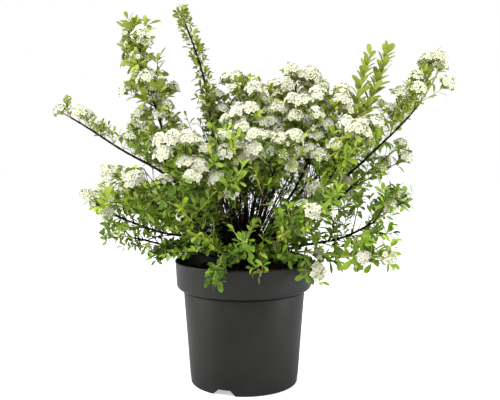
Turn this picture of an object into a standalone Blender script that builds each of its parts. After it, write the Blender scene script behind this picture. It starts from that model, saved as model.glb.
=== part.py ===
"""Flowering spirea shrub in a round nursery pot, at real size in metres, +Z up.

The origin is the centre of the pot's flat underside. One stool carries every limb. A limb is one
smooth curve from the stool to its tip: its inner share is the bough, a solid of its own, and its outer
share is the stem of a mass of leafy shoots, which starts a hair's breadth beyond the bough.
"""

import math
import random
from collections import namedtuple

import bmesh
import bpy
import numpy as np
from mathutils import Vector

MM = 0.001
TOUCH_GAP = 0.3 * MM

# Pot: a turned wall with a deep collar, standing on a flat floor.
RIM_RADIUS = 95 * MM
POT_HEIGHT = 170 * MM
BEAD_HEIGHT = 3.5 * MM
BEAD_PROUD = 0.6 * MM
COLLAR_FOOT_RADIUS = 93 * MM
COLLAR_FOOT_HEIGHT = 138 * MM
COLLAR_ROUNDING = 7.5 * MM
BODY_TOP_RADIUS = 83.5 * MM
BODY_FOOT_RADIUS = 74 * MM
HEEL_ROUNDING = 2.5 * MM
WALL = 2.2 * MM
POT_FACETS = 32

# Drainage: channels pressed up into the floor, open at the foot of the wall.
CHANNELS = 3
FIRST_CHANNEL_ANGLE = -111
CHANNEL_HEIGHT = 8 * MM
CHANNEL_FOOT_WIDTH = 33 * MM
CHANNEL_TOP_WIDTH = 18 * MM
CHANNEL_START = 38 * MM
DRAIN_HOLE_RADIUS = 3.5 * MM
DRAIN_HOLE_PLACE = 56 * MM
DRAIN_HOLE_FACETS = 10
CUT_BELOW = 6 * MM
LONG_CUT = 110 * MM

# Compost, and the stool that the limbs stand on.
SOIL_LEVEL = 157 * MM
SOIL_FALL = 5 * MM
SOIL_FLAT_RADIUS = 36 * MM
STOOL_RADIUS = 20 * MM
STOOL_LIFT = 4 * MM
FLARE_RADIUS = 31 * MM
STOOL_FACETS = 18
STOOL_RINGS = 5
STOOL_CENTRE = Vector((0, 0, SOIL_LEVEL + STOOL_LIFT))

# Limbs.
FOOT_SPACING = math.radians(17)
FOOT_ROUNDS = 80
LOWEST_FOOT = math.radians(24)
PATH_STEPS = 96
LIMB_STEP = 22 * MM
LIMB_FOOT_RADIUS = 2.3 * MM
LIMB_TIP_RADIUS = 1.15 * MM
LIMB_WANDER = 0.022
BOUGH_SIDES = 5
STEM_SIDES = 4

# Shoots, leaves and flower heads.
TWIG_SIDES = 3
TWIG_RADIUS = 0.7 * MM
TWIG_TIP_RADIUS = 0.6 * MM
ROOT_DEPTH = 0.12 * MM
LEAF_THICKNESS = 1.0 * MM
LEAF_WIDTH_SHARE = 0.52
HEAD_RADIUS = 14 * MM
HEAD_HEIGHT = 9 * MM
HEAD_SINK = 1.5 * MM
HEAD_FACETS = 5
GOLDEN_ANGLE = math.radians(137.5)
TRIES = 9
LEAF_TRIES = 4
TURN_AGAIN = (0.5, 1.3)
SHORTER = 0.9
TAPER_TO_TIP = 0.25
SHOOT_ALONG = 0.55
SHOOT_LEAN = (0.7, 1.05)
SHOOT_UP = 0.5
SHOOT_LENGTHS = (0.75, 1.2)
HEAD_SIZES = (0.9, 1.1)
LEAF_ALONG = 0.6
LEAF_UP = 0.15
LEAF_LENGTHS = (0.85, 1.1)
LEAVES_BY_HEAD = 2
LEAVES_ALONE = 3

# The arms lean out so far that all their shoots rise from the upper side, at this slope or steeper.
RISING = ("left_arm", "right_arm")
RISING_SLOPE = 0.5

# Room kept round things when a shoot, leaf or head is placed.
SPACE_MARGIN = 2.4 * MM
LIMB_MARGIN = 0.9 * MM
POT_MARGIN = 1.3 * MM
CROWDING = 6.5 * MM
SAMPLE_STEP = 4 * MM

# One row for each limb: whether its inner share is a bough of its own, or else it is slim and its mass's
# stem stands on the stool; where its tip is (degrees round from +X, reach from the axis and height above
# the floor in mm); the slopes at which it leaves the stool and arrives at its tip (degrees); the share of
# it that is bare; how far foliage spreads from its stem (mm); the number of shoots and their length (mm);
# the share of shoots that flower; and the length of a leaf (mm).
Limb = namedtuple(
    "Limb", "name bough azimuth reach height leave arrive bare spread shoots shoot blossom leaf"
)
LIMBS = (
    # Left side.
    Limb("left_arm", True, 177, 252, 372, 62, 30, 0.50, 46, 6, 24, 0.7, 21),
    Limb("left_inner", False, 165, 140, 345, 64, 62, 0.50, 46, 4, 30, 0.6, 27),
    Limb("upper_left", True, 169, 157, 492, 58, 80, 0.52, 42, 9, 26, 0.8, 24),
    Limb("tall_shoot", True, 156, 98, 514, 84, 66, 0.55, 26, 7, 16, 0.12, 17),
    Limb("low_left", True, -172, 196, 250, 40, 48, 0.40, 60, 6, 34, 0.5, 27),
    Limb("left_under", False, -177, 185, 208, 26, 18, 0.62, 30, 3, 18, 0.0, 22),
    Limb("left_droop", False, -166, 117, 184, 40, -42, 0.55, 34, 3, 20, 0.0, 22),
    Limb("left_front", True, -155, 178, 292, 42, 50, 0.42, 58, 5, 34, 0.7, 28),
    # Crown and front.
    Limb("front_left", True, -127, 135, 326, 52, 62, 0.44, 58, 5, 32, 0.7, 28),
    Limb("front_mid", True, -101, 118, 335, 58, 66, 0.44, 56, 5, 32, 0.7, 28),
    Limb("front_right", True, -66, 112, 330, 56, 64, 0.44, 56, 5, 32, 0.7, 28),
    Limb("crown_left", True, 136, 52, 392, 76, 72, 0.52, 58, 5, 32, 0.8, 28),
    Limb("crown_mid", True, -25, 16, 405, 84, 80, 0.56, 56, 5, 30, 0.8, 28),
    Limb("crown_front", False, -82, 62, 370, 70, 74, 0.52, 52, 4, 30, 0.8, 28),
    Limb("crown_right", False, -14, 68, 384, 68, 74, 0.52, 56, 5, 30, 0.8, 28),
    Limb("right_top", True, 20, 98, 424, 66, 78, 0.56, 46, 5, 28, 0.8, 27),
    Limb("right_crown", True, -22, 134, 394, 56, 66, 0.54, 50, 5, 30, 0.8, 27),
    Limb("right_front", True, -30, 172, 340, 46, 56, 0.46, 54, 5, 30, 0.7, 28),
    Limb("front_low_left", False, -124, 138, 258, 36, 46, 0.40, 52, 4, 28, 0.2, 27),
    Limb("front_low_right", False, -56, 140, 250, 36, 44, 0.40, 52, 4, 28, 0.2, 28),
    # Right side.
    Limb("leafy_shoot", True, -4, 194, 458, 44, 75, 0.60, 34, 7, 18, 0.0, 25),
    Limb("right_arm", True, 4, 270, 432, 42, 66, 0.48, 74, 9, 47, 0.7, 23),
    Limb("right_second", True, 9, 222, 324, 40, 36, 0.48, 50, 5, 28, 0.5, 24),
    Limb("right_low", True, -16, 208, 258, 30, 60, 0.55, 44, 5, 26, 0.4, 26),
    Limb("low_right", True, -34, 213, 190, 30, 4, 0.40, 40, 6, 22, 0.4, 28),
    Limb("right_droop", False, -44, 128, 168, 40, -48, 0.55, 36, 3, 20, 0.5, 24),
    # Twigs that hang over the front of the rim.
    Limb("front_hang_left", False, -108, 116, 167, 42, -62, 0.52, 36, 3, 18, 0.0, 22),
    Limb("front_hang_right", False, -78, 114, 173, 40, -58, 0.52, 34, 3, 18, 0.0, 22),
    Limb("front_leafy", False, -88, 126, 214, 34, 24, 0.45, 40, 4, 20, 0.0, 28),
    # Back, of the same make.
    Limb("back_right", True, 40, 216, 352, 46, 54, 0.46, 62, 6, 34, 0.7, 28),
    Limb("back_high", False, 68, 118, 412, 66, 74, 0.52, 58, 5, 32, 0.7, 28),
    Limb("back_mid", True, 92, 200, 342, 48, 56, 0.44, 62, 6, 34, 0.7, 28),
    Limb("back_left", True, 138, 212, 350, 46, 52, 0.46, 62, 6, 34, 0.7, 28),
    Limb("back_low_right", False, 64, 204, 238, 32, 38, 0.42, 56, 5, 30, 0.4, 28),
    Limb("back_hang", False, 92, 124, 172, 42, -50, 0.52, 38, 4, 20, 0.2, 24),
    Limb("back_low_left", False, 118, 200, 232, 32, 34, 0.42, 56, 5, 30, 0.4, 28),
)

MATERIALS = {
    "pot_plastic": ((0.045, 0.045, 0.043), 0.45),
    "compost": ((0.020, 0.015, 0.012), 0.95),
    "old_wood": ((0.035, 0.024, 0.018), 0.75),
    "foliage": ((0.16, 0.30, 0.05), 0.55),
}


def clear_scene():
    for old in list(bpy.data.objects):
        bpy.data.objects.remove(old, do_unlink=True)


def make_materials():
    for name, (color, roughness) in MATERIALS.items():
        material = bpy.data.materials.new(name)
        material.use_nodes = True
        shader = material.node_tree.nodes["Principled BSDF"]
        shader.inputs["Base Color"].default_value = (*color, 1)
        shader.inputs["Roughness"].default_value = roughness
        shader.inputs["Metallic"].default_value = 0


def add_object(name, points, faces, material=None, collection=None):
    mesh = bpy.data.meshes.new(name)
    mesh.from_pydata([tuple(point) for point in points], [], faces)
    mesh.validate()
    thing = bpy.data.objects.new(name, mesh)
    if material:
        mesh.materials.append(bpy.data.materials[material])
    (collection or bpy.context.scene.collection).objects.link(thing)
    return thing


def smooth(thing, angle=35):
    thing.data.shade_smooth()
    thing.data.set_sharp_from_angle(angle=math.radians(angle))


def apply_modifiers(thing):
    graph = bpy.context.evaluated_depsgraph_get()
    baked = bpy.data.meshes.new_from_object(thing.evaluated_get(graph))
    thing.modifiers.clear()
    thing.data = baked


def boolean(thing, other, operation):
    modifier = thing.modifiers.new(operation.lower(), "BOOLEAN")
    modifier.operation = operation
    modifier.solver = "EXACT"
    modifier.object = other
    apply_modifiers(thing)
    bpy.data.objects.remove(other, do_unlink=True)


# Turned pieces.


def turned(name, profile, facets, material=None):
    """A solid of revolution about Z. The profile runs from the axis, out and back to the axis."""
    mesh = bmesh.new()
    corners = [mesh.verts.new((radius, 0, height)) for radius, height in profile]
    edges = [mesh.edges.new(pair) for pair in zip(corners, corners[1:])]
    bmesh.ops.spin(
        mesh,
        geom=corners + edges,
        cent=(0, 0, 0),
        axis=(0, 0, 1),
        angle=2 * math.pi,
        steps=facets,
        use_merge=True,
    )
    bmesh.ops.remove_doubles(mesh, verts=mesh.verts, dist=0.01 * MM)
    bmesh.ops.recalc_face_normals(mesh, faces=mesh.faces)
    thing = add_object(name, [], [], material)
    mesh.to_mesh(thing.data)
    mesh.free()
    return thing


def arc(centre, radius, start, end, steps):
    """Points on an arc in the profile's plane, angles in degrees."""
    angles = [math.radians(start + (end - start) * k / steps) for k in range(steps + 1)]
    return [(centre[0] + radius * math.cos(a), centre[1] + radius * math.sin(a)) for a in angles]


def wall_radius(height):
    """Outer radius of the pot's tapered body."""
    collar_underside = COLLAR_FOOT_HEIGHT - COLLAR_ROUNDING
    return BODY_FOOT_RADIUS + (BODY_TOP_RADIUS - BODY_FOOT_RADIUS) * height / collar_underside


def outer_profile():
    heel_centre = (wall_radius(HEEL_ROUNDING) - HEEL_ROUNDING, HEEL_ROUNDING)
    collar_underside = COLLAR_FOOT_HEIGHT - COLLAR_ROUNDING
    rounding_centre = (COLLAR_FOOT_RADIUS - COLLAR_ROUNDING, COLLAR_FOOT_HEIGHT)
    below_bead = POT_HEIGHT - BEAD_HEIGHT
    return (
        [(0, 0)]
        + arc(heel_centre, HEEL_ROUNDING, -90, 0, 3)
        + [(BODY_TOP_RADIUS, collar_underside)]
        + arc(rounding_centre, COLLAR_ROUNDING, -90, 0, 3)
        + [(RIM_RADIUS - BEAD_PROUD, below_bead), (RIM_RADIUS, below_bead + BEAD_PROUD)]
        + [(RIM_RADIUS, POT_HEIGHT - BEAD_PROUD), (RIM_RADIUS - BEAD_PROUD, POT_HEIGHT)]
        + [(0, POT_HEIGHT)]
    )


def collar_radius(height):
    """Outer radius of the tapered collar, below its bead."""
    share = (height - COLLAR_FOOT_HEIGHT) / (POT_HEIGHT - COLLAR_FOOT_HEIGHT)
    return COLLAR_FOOT_RADIUS + (RIM_RADIUS - BEAD_PROUD - COLLAR_FOOT_RADIUS) * share


def hollow_profile(shrink, top):
    """The space inside the wall, made smaller all round by shrink, and closed at the height top."""
    inset = WALL + shrink
    neck = COLLAR_FOOT_HEIGHT - COLLAR_ROUNDING + inset
    ledge = COLLAR_FOOT_HEIGHT + inset
    return [
        (0, inset),
        (wall_radius(inset) - inset, inset),
        (BODY_TOP_RADIUS - inset, neck),
        (collar_radius(ledge) - inset, ledge),
        (collar_radius(top) - inset, top),
        (0, top),
    ]


def channel_block(angle, grow, top_grow, start, end):
    """A bar of trapezoid section that lies along the floor, out from the axis."""
    foot = CHANNEL_FOOT_WIDTH / 2 + grow
    head = CHANNEL_TOP_WIDTH / 2 + grow
    slope = (foot - head) / CHANNEL_HEIGHT
    bottom = -CUT_BELOW
    top = CHANNEL_HEIGHT + top_grow
    section = [(foot - slope * bottom, bottom), (foot - slope * top, top)]
    points = []
    for out in (start, end):
        points += [(out, side, z) for side, z in section]
        points += [(out, -side, z) for side, z in reversed(section)]
    faces = [(0, 1, 2, 3), (7, 6, 5, 4), (0, 4, 5, 1), (1, 5, 6, 2), (2, 6, 7, 3), (3, 7, 4, 0)]
    turn = math.radians(angle)
    placed = [
        (x * math.cos(turn) - y * math.sin(turn), x * math.sin(turn) + y * math.cos(turn), z)
        for x, y, z in points
    ]
    block = add_object("channel_block", placed, faces)
    mesh = bmesh.new()
    mesh.from_mesh(block.data)
    bmesh.ops.recalc_face_normals(mesh, faces=mesh.faces)
    mesh.to_mesh(block.data)
    mesh.free()
    return block


def channel_angles():
    return [FIRST_CHANNEL_ANGLE + 360 * k / CHANNELS for k in range(CHANNELS)]


def drain_hole(angle):
    turn = math.radians(angle)
    top = CHANNEL_HEIGHT + 2 * WALL
    profile = [(0, -WALL), (DRAIN_HOLE_RADIUS, -WALL), (DRAIN_HOLE_RADIUS, top), (0, top)]
    cutter = turned("drain_hole", profile, DRAIN_HOLE_FACETS)
    cutter.location = (DRAIN_HOLE_PLACE * math.cos(turn), DRAIN_HOLE_PLACE * math.sin(turn), 0)
    bpy.context.view_layer.update()
    return cutter


def make_pot():
    pot = turned("pot", outer_profile(), POT_FACETS, "pot_plastic")
    hollow = turned("hollow", hollow_profile(0, POT_HEIGHT + 10 * MM), POT_FACETS)
    for angle in channel_angles():
        boolean(hollow, channel_block(angle, WALL, WALL, CHANNEL_START - WALL, LONG_CUT), "DIFFERENCE")
    boolean(pot, hollow, "DIFFERENCE")
    for angle in channel_angles():
        boolean(pot, channel_block(angle, 0, 0, CHANNEL_START, LONG_CUT), "DIFFERENCE")
        boolean(pot, drain_hole(angle), "DIFFERENCE")
    smooth(pot)


def make_soil():
    edge = hollow_profile(TOUCH_GAP, SOIL_LEVEL - SOIL_FALL)
    profile = edge[:-1] + [(SOIL_FLAT_RADIUS, SOIL_LEVEL), (0, SOIL_LEVEL)]
    soil = turned("soil", profile, POT_FACETS, "compost")
    for angle in channel_angles():
        grow = WALL + TOUCH_GAP
        boolean(soil, channel_block(angle, grow, grow, CHANNEL_START - grow, LONG_CUT), "DIFFERENCE")
    smooth(soil)


def make_stool():
    """The root crown: flared where it meets the compost, and domed where the limbs stand."""
    ground = SOIL_LEVEL + TOUCH_GAP
    centre = (0, STOOL_CENTRE.z)
    flare = [(FLARE_RADIUS, ground), (FLARE_RADIUS, ground + 0.6 * MM)]
    flare += [((FLARE_RADIUS + 2 * STOOL_RADIUS) / 3, ground + 1.6 * MM)]
    dome = arc(centre, STOOL_RADIUS, 0, 90, STOOL_RINGS)
    dome[-1] = (0, dome[-1][1])
    stool = turned("stool", [(0, ground)] + flare + dome, STOOL_FACETS, "old_wood")
    smooth(stool)


# Limbs: where each one runs.


def direction(azimuth, slope):
    return Vector(
        (math.cos(azimuth) * math.cos(slope), math.sin(azimuth) * math.cos(slope), math.sin(slope))
    )


def foot_directions():
    """The way each limb leaves the stool: towards its tip, but pushed apart so that no feet crowd."""
    ways = [direction(math.radians(limb.azimuth), math.radians(limb.leave)) for limb in LIMBS]
    for _ in range(FOOT_ROUNDS):
        for i, first in enumerate(ways):
            for j in range(i + 1, len(ways)):
                apart = first.angle(ways[j])
                if apart < FOOT_SPACING:
                    push = (first - ways[j]).normalized() * (FOOT_SPACING - apart) * 0.5
                    ways[i] = (ways[i] + push).normalized()
                    ways[j] = (ways[j] - push).normalized()
                    first = ways[i]
        for i, way in enumerate(ways):
            if way.z < math.sin(LOWEST_FOOT):
                ways[i] = direction(math.atan2(way.y, way.x), LOWEST_FOOT)
    return ways


def limb_path(limb, leaving):
    """Points from the stool to the limb's tip, evenly spaced, as an array."""
    azimuth = math.radians(limb.azimuth)
    foot = STOOL_CENTRE + leaving * (STOOL_RADIUS + TOUCH_GAP)
    tip = direction(azimuth, 0) * limb.reach * MM + Vector((0, 0, limb.height * MM))
    chord = (tip - foot).length
    start = leaving * chord
    end = direction(azimuth, math.radians(limb.arrive)) * chord
    rng = random.Random("path " + limb.name)
    side = Vector((-math.sin(azimuth), math.cos(azimuth), 0))
    phase = rng.uniform(0, 2 * math.pi)
    points = []
    for k in range(PATH_STEPS + 1):
        t = k / PATH_STEPS
        point = (
            foot * (2 * t**3 - 3 * t**2 + 1)
            + start * (t**3 - 2 * t**2 + t)
            + tip * (3 * t**2 - 2 * t**3)
            + end * (t**3 - t**2)
        )
        calm = (4 * t * (1 - t)) ** 2
        sway = math.sin(2 * math.pi * 1.3 * t + phase) * LIMB_WANDER * chord * calm
        bob = math.cos(2 * math.pi * 1.7 * t + phase) * LIMB_WANDER * 0.5 * chord * calm
        points.append(point + side * sway + Vector((0, 0, bob)))
    return np.array([tuple(point) for point in points])


def lengths_along(path):
    return np.concatenate([[0], np.cumsum(np.linalg.norm(np.diff(path, axis=0), axis=1))])


def stretch(path, start, end, step):
    """The part of a path between two lengths along it, in even steps."""
    along = lengths_along(path)
    count = max(1, round((end - start) / step))
    places = np.linspace(start, end, count + 1)
    return np.stack([np.interp(places, along, path[:, axis]) for axis in range(3)], axis=1)


def limb_radius(limb, share):
    """Radius at a share of the limb's length, stouter on longer limbs."""
    stout = 0.75 + 0.25 * min(1.0, (limb.reach + limb.height - 160) / 330)
    return (LIMB_FOOT_RADIUS + (LIMB_TIP_RADIUS - LIMB_FOOT_RADIUS) * share**0.8) * stout


def limb_stretch(limb, path, lengths, shares):
    """The points and radii of a limb between two lengths along its path."""
    points = stretch(path, *lengths, LIMB_STEP)
    return points, [limb_radius(limb, share) for share in np.linspace(*shares, len(points))]


def plan_limbs():
    """For each limb: the points and radii of its bough, if it has one, and of its mass's stem."""
    plans = []
    for limb, leaving in zip(LIMBS, foot_directions()):
        path = limb_path(limb, leaving)
        total = lengths_along(path)[-1]
        split = total * limb.bare if limb.bough else 0
        bough = None
        if limb.bough:
            bough = limb_stretch(limb, path, (0, split), (0, limb.bare))
            split += TOUCH_GAP
        stem = limb_stretch(limb, path, (split, total), (limb.bare if limb.bough else 0, 1))
        plans.append((limb, bough, stem))
    return plans


# Meshes of twigs, leaves and flower heads, as points and faces.


def tube(points, radii, sides):
    """A closed tapering tube whose rings don't twist."""
    points = [Vector(point) for point in points]
    tangents = []
    for k in range(len(points)):
        before = points[max(k - 1, 0)]
        after = points[min(k + 1, len(points) - 1)]
        tangents.append((after - before).normalized())
    across = tangents[0].orthogonal().normalized()
    corners = []
    for point, tangent, radius in zip(points, tangents, radii):
        across = (across - tangent * across.dot(tangent)).normalized()
        over = tangent.cross(across)
        for side in range(sides):
            angle = 2 * math.pi * side / sides
            corners.append(point + (across * math.cos(angle) + over * math.sin(angle)) * radius)
    faces = [tuple(reversed(range(sides)))]
    for ring in range(len(points) - 1):
        low = ring * sides
        for side in range(sides):
            after = (side + 1) % sides
            faces.append((low + side, low + after, low + sides + after, low + sides + side))
    last = (len(points) - 1) * sides
    faces.append(tuple(range(last, last + sides)))
    return corners, faces


def leaf_blade(root, way, face, length):
    """An eight-faced blade: broadest past its middle, a little cupped, its root behind the twig's axis."""
    across = way.cross(face).normalized()
    up = across.cross(way).normalized()
    width = length * LEAF_WIDTH_SHARE / 2
    middle = root + way * length * 0.56
    corners = [
        root - way * ROOT_DEPTH,
        middle + across * width + up * width * 0.22,
        middle - across * width + up * width * 0.22,
        root + way * length - up * length * 0.06,
        middle + up * LEAF_THICKNESS / 2,
        middle - up * LEAF_THICKNESS / 2,
    ]
    faces = [(0, 4, 1), (1, 4, 3), (3, 4, 2), (2, 4, 0), (0, 1, 5), (1, 3, 5), (3, 2, 5), (2, 0, 5)]
    return corners, [tuple(reversed(face)) for face in faces]


def flower_head(root, way, size):
    """A low flat-topped dome on the end of a shoot, with the shoot's tip sunk in its underside."""
    across = way.orthogonal().normalized()
    over = way.cross(across)
    corners = []
    for radius, height in ((HEAD_RADIUS, -HEAD_SINK), (HEAD_RADIUS * 0.6, HEAD_HEIGHT - HEAD_SINK)):
        for facet in range(HEAD_FACETS):
            angle = 2 * math.pi * facet / HEAD_FACETS
            out = across * math.cos(angle) + over * math.sin(angle)
            corners.append(root + out * radius * size + way * height * size)
    faces = [tuple(reversed(range(HEAD_FACETS))), tuple(range(HEAD_FACETS, 2 * HEAD_FACETS))]
    for facet in range(HEAD_FACETS):
        after = (facet + 1) % HEAD_FACETS
        faces.append((facet, after, after + HEAD_FACETS, facet + HEAD_FACETS))
    return corners, faces


# The space that each mass keeps to.


def distances(points, starts, ends):
    """Distance from every point to every segment."""
    points = np.asarray(points)[:, None, :]
    along = (ends - starts)[None]
    share = ((points - starts[None]) * along).sum(-1) / np.maximum((along**2).sum(-1), 1e-12)
    nearest = starts[None] + np.clip(share, 0, 1)[..., None] * along
    return np.linalg.norm(points - nearest, axis=-1)


class Room:
    """Every limb's segments, and the test that a new piece of foliage has room where it would be."""

    def __init__(self, plans):
        starts, ends, radii, owners, stems = [], [], [], [], []
        for owner, (_, bough, stem) in enumerate(plans):
            for part, is_stem in ((bough, False), (stem, True)):
                if part is None:
                    continue
                path, widths = part
                starts.append(path[:-1])
                ends.append(path[1:])
                radii += list(widths[:-1])
                owners += [owner] * (len(path) - 1)
                stems += [is_stem] * (len(path) - 1)
        self.starts = np.concatenate(starts)
        self.ends = np.concatenate(ends)
        self.radii = np.array(radii)
        self.owners = np.array(owners)
        self.stems = np.array(stems)

    def holds(self, owner, points, spread):
        apart = distances(points, self.starts, self.ends)
        mine = self.stems & (self.owners == owner)
        theirs = self.stems & (self.owners != owner)
        own = apart[:, mine].min(axis=1)
        if own.max() > spread:
            return False
        if (apart[:, theirs].min(axis=1) - own).min() < SPACE_MARGIN:
            return False
        if (apart - self.radii)[:, ~mine].min() < LIMB_MARGIN:
            return False
        return all(clear_of_pot(point) for point in points)


def clear_of_pot(point):
    out = math.hypot(point[0], point[1])
    if point[2] > POT_HEIGHT + POT_MARGIN:
        return True
    if out > RIM_RADIUS + POT_MARGIN:
        return True
    inside = RIM_RADIUS - BEAD_PROUD - WALL - POT_MARGIN
    return out < inside and point[2] > SOIL_LEVEL + POT_MARGIN


def samples(corners, root, tip):
    """The piece's corners, the middles between them, and points along it close enough for the rim."""
    count = max(2, math.ceil((tip - root).length / SAMPLE_STEP) + 1)
    line = [root.lerp(tip, k / (count - 1)) for k in range(count)]
    middles = [(here + after) / 2 for here, after in zip(corners, corners[1:] + corners[:1])]
    return np.array([tuple(point) for point in corners + middles + line])


# Growing a mass: shoots from its stem, each with leaves and perhaps a flower head.


def shoot_way(tangent, angle, lean):
    """A shoot's way: out from the stem, on along it, and up towards the light."""
    across = tangent.orthogonal().normalized()
    over = tangent.cross(across)
    out = across * math.cos(angle) + over * math.sin(angle)
    return (tangent * SHOOT_ALONG + out * lean + Vector((0, 0, SHOOT_UP))).normalized()


def leaf_way(along, angle):
    """A leaf's way at an angle round its shoot: outwards, a little on along it, and a little up."""
    across = along.orthogonal().normalized()
    out = across * math.cos(angle) + along.cross(across) * math.sin(angle)
    return (along * LEAF_ALONG + out + Vector((0, 0, LEAF_UP))).normalized()


class Mass:
    """One mass as it grows: its pieces so far, and the points that keep the next ones from crowding."""

    def __init__(self, owner, limb, room):
        self.owner = owner
        self.limb = limb
        self.room = room
        self.pieces = []
        self.crowd = []

    def has_room(self, corners, root, tip):
        points = samples(corners, root, tip)
        if self.crowd:
            apart = np.linalg.norm(points[: len(corners), None] - np.array(self.crowd)[None], axis=-1)
            if apart.min() < CROWDING:
                return False
        return self.room.holds(self.owner, points, self.limb.spread * MM)

    def add(self, corners, faces, outer):
        self.pieces.append((corners, faces))
        self.crowd += [tuple(corner) for corner in outer]
        self.crowd.append(tuple(sum(outer, Vector()) / len(outer)))

    def add_leaf(self, rng, root, along, angle):
        """A leaf, turned round the shoot until it has room, or skipped."""
        length = self.limb.leaf * MM * rng.uniform(*LEAF_LENGTHS)
        for _ in range(LEAF_TRIES):
            way = leaf_way(along, angle)
            corners, faces = leaf_blade(root, way, along, length)
            if self.has_room(corners[1:], root + way * 2 * MM, root + way * length):
                self.add(corners, faces, corners[1:])
                return
            angle += GOLDEN_ANGLE

    def add_shoot(self, rng, root, tangent, angle, taper):
        """A twig with its head and leaves. It tries other ways out, each shorter, before it is skipped."""
        flowering = rng.random() < self.limb.blossom
        for _ in range(TRIES):
            way = shoot_way(tangent, angle, rng.uniform(*SHOOT_LEAN))
            if self.limb.name in RISING and way.z < RISING_SLOPE:
                angle += rng.uniform(*TURN_AGAIN)
                continue
            tip = root + way * self.limb.shoot * MM * rng.uniform(*SHOOT_LENGTHS) * taper
            twig = tube([root, tip], [TWIG_RADIUS, TWIG_TIP_RADIUS], TWIG_SIDES)
            axis = (way + Vector((0, 0, 0.6))).normalized()
            head = flower_head(tip, axis, rng.uniform(*HEAD_SIZES))
            fits = self.has_room(twig[0][TWIG_SIDES:], root + way * 2 * MM, tip)
            if fits and flowering:
                fits = self.has_room(head[0], tip, tip + axis * HEAD_HEIGHT)
            if fits:
                break
            angle += rng.uniform(*TURN_AGAIN)
            taper *= SHORTER
        else:
            return
        self.pieces.append(twig)
        if flowering:
            self.add(*head, head[0])
        count = LEAVES_BY_HEAD if flowering else LEAVES_ALONE
        turn = rng.uniform(0, 2 * math.pi)
        for k in range(count):
            share = 0.35 + 0.6 * (k + 0.5) / count
            self.add_leaf(rng, root.lerp(tip, share), way, turn + k * GOLDEN_ANGLE)

    def add_tip(self, rng, tip, way):
        """The stem's own end: a head, or on a leafy limb one last leaf."""
        if self.limb.blossom > 0.3:
            axis = (way + Vector((0, 0, 0.8))).normalized()
            head = flower_head(tip, axis, 1.0)
            self.add(*head, head[0])
        else:
            self.add_leaf(rng, tip - way * MM, way, 0)


def grow_mass(owner, limb, room, stem):
    """The shoots of one mass, from the end of its bare share to its tip."""
    rng = random.Random("mass " + limb.name)
    mass = Mass(owner, limb, room)
    path = [Vector(point) for point in stem]
    bare = 0 if limb.bough else limb.bare
    mass.add_tip(rng, path[-1], (path[-1] - path[-2]).normalized())
    angle = rng.uniform(0, 2 * math.pi)
    for k in range(limb.shoots):
        share = bare + (1 - bare) * (k + rng.uniform(0.3, 0.7)) / limb.shoots
        spot = share * (len(path) - 1)
        low = min(int(spot), len(path) - 2)
        root = path[low].lerp(path[low + 1], spot - low)
        tangent = (path[low + 1] - path[low]).normalized()
        mass.add_shoot(rng, root, tangent, angle, 1 - TAPER_TO_TIP * share)
        angle += GOLDEN_ANGLE
    return mass.pieces


def keep_largest_shell(thing):
    """Fills a hollow that fusing sealed and drops a loose scrap: both are shells of their own."""
    mesh = bmesh.new()
    mesh.from_mesh(thing.data)
    unseen = set(mesh.verts)
    shells = []
    while unseen:
        edge = [unseen.pop()]
        shell = set(edge)
        while edge:
            vert = edge.pop()
            for link in vert.link_edges:
                other = link.other_vert(vert)
                if other in unseen:
                    unseen.discard(other)
                    shell.add(other)
                    edge.append(other)
        shells.append(shell)
    keep = max(shells, key=len)
    spare = [vert for shell in shells if shell is not keep for vert in shell]
    bmesh.ops.delete(mesh, geom=spare, context="VERTS")
    mesh.to_mesh(thing.data)
    mesh.free()


def fuse(thing, pieces):
    """One union of the stem with all its shoots, leaves and heads."""
    spray = bpy.data.collections.new("spray")
    bpy.context.scene.collection.children.link(spray)
    for corners, faces in pieces:
        add_object("piece", corners, faces, None, spray)
    modifier = thing.modifiers.new("fuse", "BOOLEAN")
    modifier.operation = "UNION"
    modifier.operand_type = "COLLECTION"
    modifier.solver = "EXACT"
    modifier.collection = spray
    apply_modifiers(thing)
    for piece in list(spray.objects):
        bpy.data.objects.remove(piece, do_unlink=True)
    bpy.data.collections.remove(spray)
    keep_largest_shell(thing)


def make_limbs():
    plans = plan_limbs()
    room = Room(plans)
    for owner, (limb, bough, stem) in enumerate(plans):
        if bough:
            solid = add_object("bough_" + limb.name, *tube(*bough, BOUGH_SIDES), "old_wood")
            smooth(solid, 60)
        mass = add_object("mass_" + limb.name, *tube(*stem, STEM_SIDES), "foliage")
        fuse(mass, grow_mass(owner, limb, room, stem[0]))


def main():
    clear_scene()
    make_materials()
    make_pot()
    make_soil()
    make_stool()
    make_limbs()


main()
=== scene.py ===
"""Looks of a flowering spirea shrub in a round nursery pot, dressed on its fixed frame.

Every limb is drawn again by the rule that made the solids, with bark relief. Each mass of foliage
grows on from its limb by the same rule, carried on to fine shoots, leaves and blossom.
"""

import math
import random
from collections import namedtuple

import bmesh
import bpy
import numpy as np
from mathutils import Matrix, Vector, noise


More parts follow.
